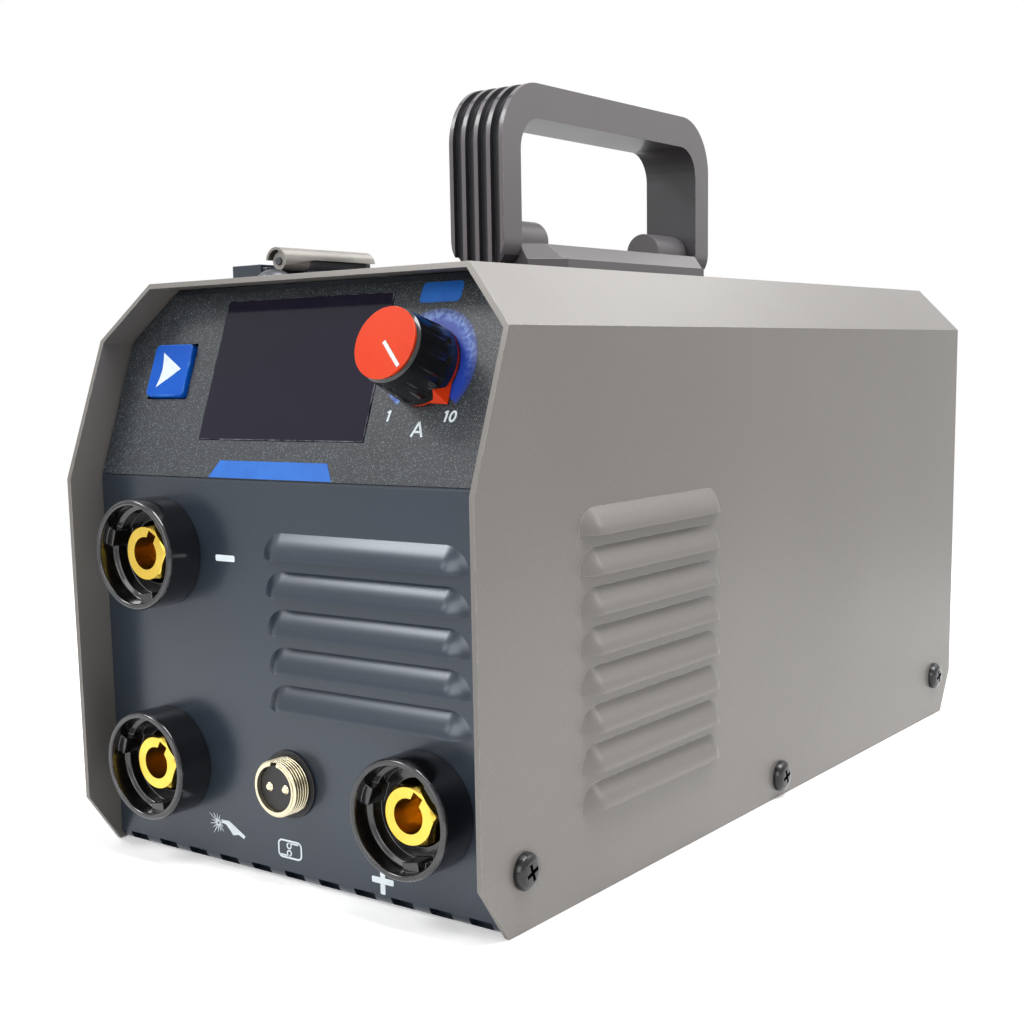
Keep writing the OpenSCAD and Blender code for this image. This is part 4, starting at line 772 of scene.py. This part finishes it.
BURST_AT = (-29.8, 12.2)
BURST = ((8, 0.8), (40, 0.9), (74, 1.0), (101, 1.1), (126, 1.3), (146, 1.75), (168, 1.2), (190, 1.4), (214, 1.2),
         (237, 1.5), (262, 1.1), (288, 1.0), (312, 1.2), (338, 0.8))  # angle and stretch of each ray
ray = bmesh.new()
plate(ray, [(0.35, -0.17), (2.5, -0.05), (2.6, 0.0), (2.5, 0.05), (0.35, 0.2)], Matrix.Identity(4), 0.0, PRINT)
to_front = front_frame(BURST_AT[0] * MM, BURST_AT[1] * MM)
rays = [(to_front @ Matrix.Rotation(math.radians(deg), 4, "Z"), (stretch, 1, 1)) for deg, stretch in BURST]
repeated("spark_rays", ray, rays, WHITE_INK, "case", smooth=PRINT_SMOOTH)

# -------------------------------------------------------------- stage, light


FLOOR_LIFT = 0.35  # glow that brings the lit floor up to the white around it
FLOOR_FADE = (0.30, 0.85)  # distances from the middle, in metres, over which the floor fades out
FLOOR_DROP = 0.2 * MM  # the floor lies this far under the case
FILL = 0.15  # strength of the world's light on the welder
MIDDLE = (0, 0, 0.1)
LAMPS = (  # name, place, target, size in metres, power in watts
    ("overhead", (0.40, 0.05, 1.4), MIDDLE, (0.8, 0.8), 20),
    ("behind", (0.25, 1.0, 1.05), MIDDLE, (1.0, 0.6), 4.5),
    ("right_rear", (1.15, 0.95, 0.8), MIDDLE, (0.6, 0.6), 3.5),
    ("front", (0.3, -1.6, 0.7), MIDDLE, (0.9, 0.9), 8.5),
    ("high_left", (-0.8, -0.75, 1.2), (0, -0.15, 0.07), (0.45, 0.45), 9),
    ("low_left", (-0.42, -1.2, 0.6), (0.04, -0.14, 0.1), (0.4, 0.4), 1.5),
)


def soft_lamp(name, place, target, size, power):
    lamp = bpy.data.lights.new(name, "AREA")
    lamp.shape = "RECTANGLE"
    lamp.size, lamp.size_y = size
    lamp.energy = power
    obj = bpy.data.objects.new(name, lamp)
    bpy.context.scene.collection.objects.link(obj)
    obj.location = place
    obj.rotation_euler = (Vector(target) - Vector(place)).to_track_quat("-Z", "Y").to_euler()


def seen_directly(tree):
    """1 where a camera, glossy or transmission ray looks, else 0."""
    path = tree.nodes.new("ShaderNodeLightPath")
    seen = math_node(tree, "MAXIMUM", path.outputs["Is Camera Ray"], path.outputs["Is Glossy Ray"])
    return math_node(tree, "MAXIMUM", seen, path.outputs["Is Transmission Ray"])


def floor_finish():
    """Pale matt floor that keeps the shadow near the welder and fades into the white world."""
    mat = surface("studio floor", (250, 250, 250), 3, patch=2.0, grain=0.2, rough=0.75, relief=60, bump=0.02)
    tree = mat.node_tree
    shader = tree.nodes["Principled BSDF"]
    where = tree.nodes.new("ShaderNodeTexCoord").outputs["Object"]
    length = tree.nodes.new("ShaderNodeVectorMath")
    length.operation = "LENGTH"
    link(tree, where, length.inputs[0])
    faded = ramp(tree, length.outputs["Value"], *FLOOR_FADE)
    link(tree, math_node(tree, "SUBTRACT", 1.0, faded), shader.inputs["Alpha"])
    shader.inputs["Emission Color"].default_value = (1, 1, 1, 1)
    link(tree, math_node(tree, "MULTIPLY", seen_directly(tree), FLOOR_LIFT), shader.inputs["Emission Strength"])
    return mat


def studio():
    """Floor, white world and lamps."""
    bm = bmesh.new()
    bmesh.ops.create_grid(bm, x_segments=1, y_segments=1, size=1.2)
    mesh = bpy.data.meshes.new("floor")
    bm.to_mesh(mesh)
    bm.free()
    floor = bpy.data.objects.new("floor", mesh)
    floor.location = (0, 0, -FLOOR_DROP)
    mesh.materials.append(floor_finish())
    bpy.context.scene.collection.objects.link(floor)
    world = bpy.data.worlds.new("studio")
    bpy.context.scene.world = world
    world.use_nodes = True
    tree = world.node_tree
    tree.nodes.clear()
    out = tree.nodes.new("ShaderNodeOutputWorld")
    fill, white = tree.nodes.new("ShaderNodeBackground"), tree.nodes.new("ShaderNodeBackground")
    fill.inputs["Color"].default_value = (0.97, 0.98, 1.0, 1)
    fill.inputs["Strength"].default_value = FILL
    white.inputs["Color"].default_value = (1, 1, 1, 1)
    mix = tree.nodes.new("ShaderNodeMixShader")
    link(tree, seen_directly(tree), mix.inputs["Fac"])
    link(tree, fill.outputs[0], mix.inputs[1])
    link(tree, white.outputs[0], mix.inputs[2])
    link(tree, mix.outputs[0], out.inputs["Surface"])
    for lamp in LAMPS:
        soft_lamp(*lamp)


CAMERA_AT = (0.2879, -0.4388, 0.14295)
CAMERA_TURN, CAMERA_DIP, CAMERA_ROLL = (math.radians(v) for v in (37.60, 8.53, -1.23))
CAMERA_LENS, CAMERA_SHIFT = 52.99, (0.0438, 0.0761)


def camera():
    """The view from the front right: turned about Z from the front, dipped, then rolled."""
    data = bpy.data.cameras.new("camera")
    data.sensor_width = 36.0
    data.lens = CAMERA_LENS
    data.shift_x, data.shift_y = CAMERA_SHIFT
    data.clip_start = 0.01
    obj = bpy.data.objects.new("camera", data)
    bpy.context.scene.collection.objects.link(obj)
    level = math.cos(CAMERA_DIP)
    ahead = Vector((-math.sin(CAMERA_TURN) * level, math.cos(CAMERA_TURN) * level, -math.sin(CAMERA_DIP)))
    right = Vector((math.cos(CAMERA_TURN), math.sin(CAMERA_TURN), 0))
    up = right.cross(ahead)
    m = Matrix.Identity(4)
    m.col[0][:3] = right * math.cos(CAMERA_ROLL) + up * math.sin(CAMERA_ROLL)
    m.col[1][:3] = up * math.cos(CAMERA_ROLL) - right * math.sin(CAMERA_ROLL)
    m.col[2][:3] = -ahead
    m.col[3][:3] = CAMERA_AT
    obj.matrix_world = m
    bpy.context.scene.camera = obj


camera()
studio()
bpy.context.scene.view_settings.view_transform = "Standard"
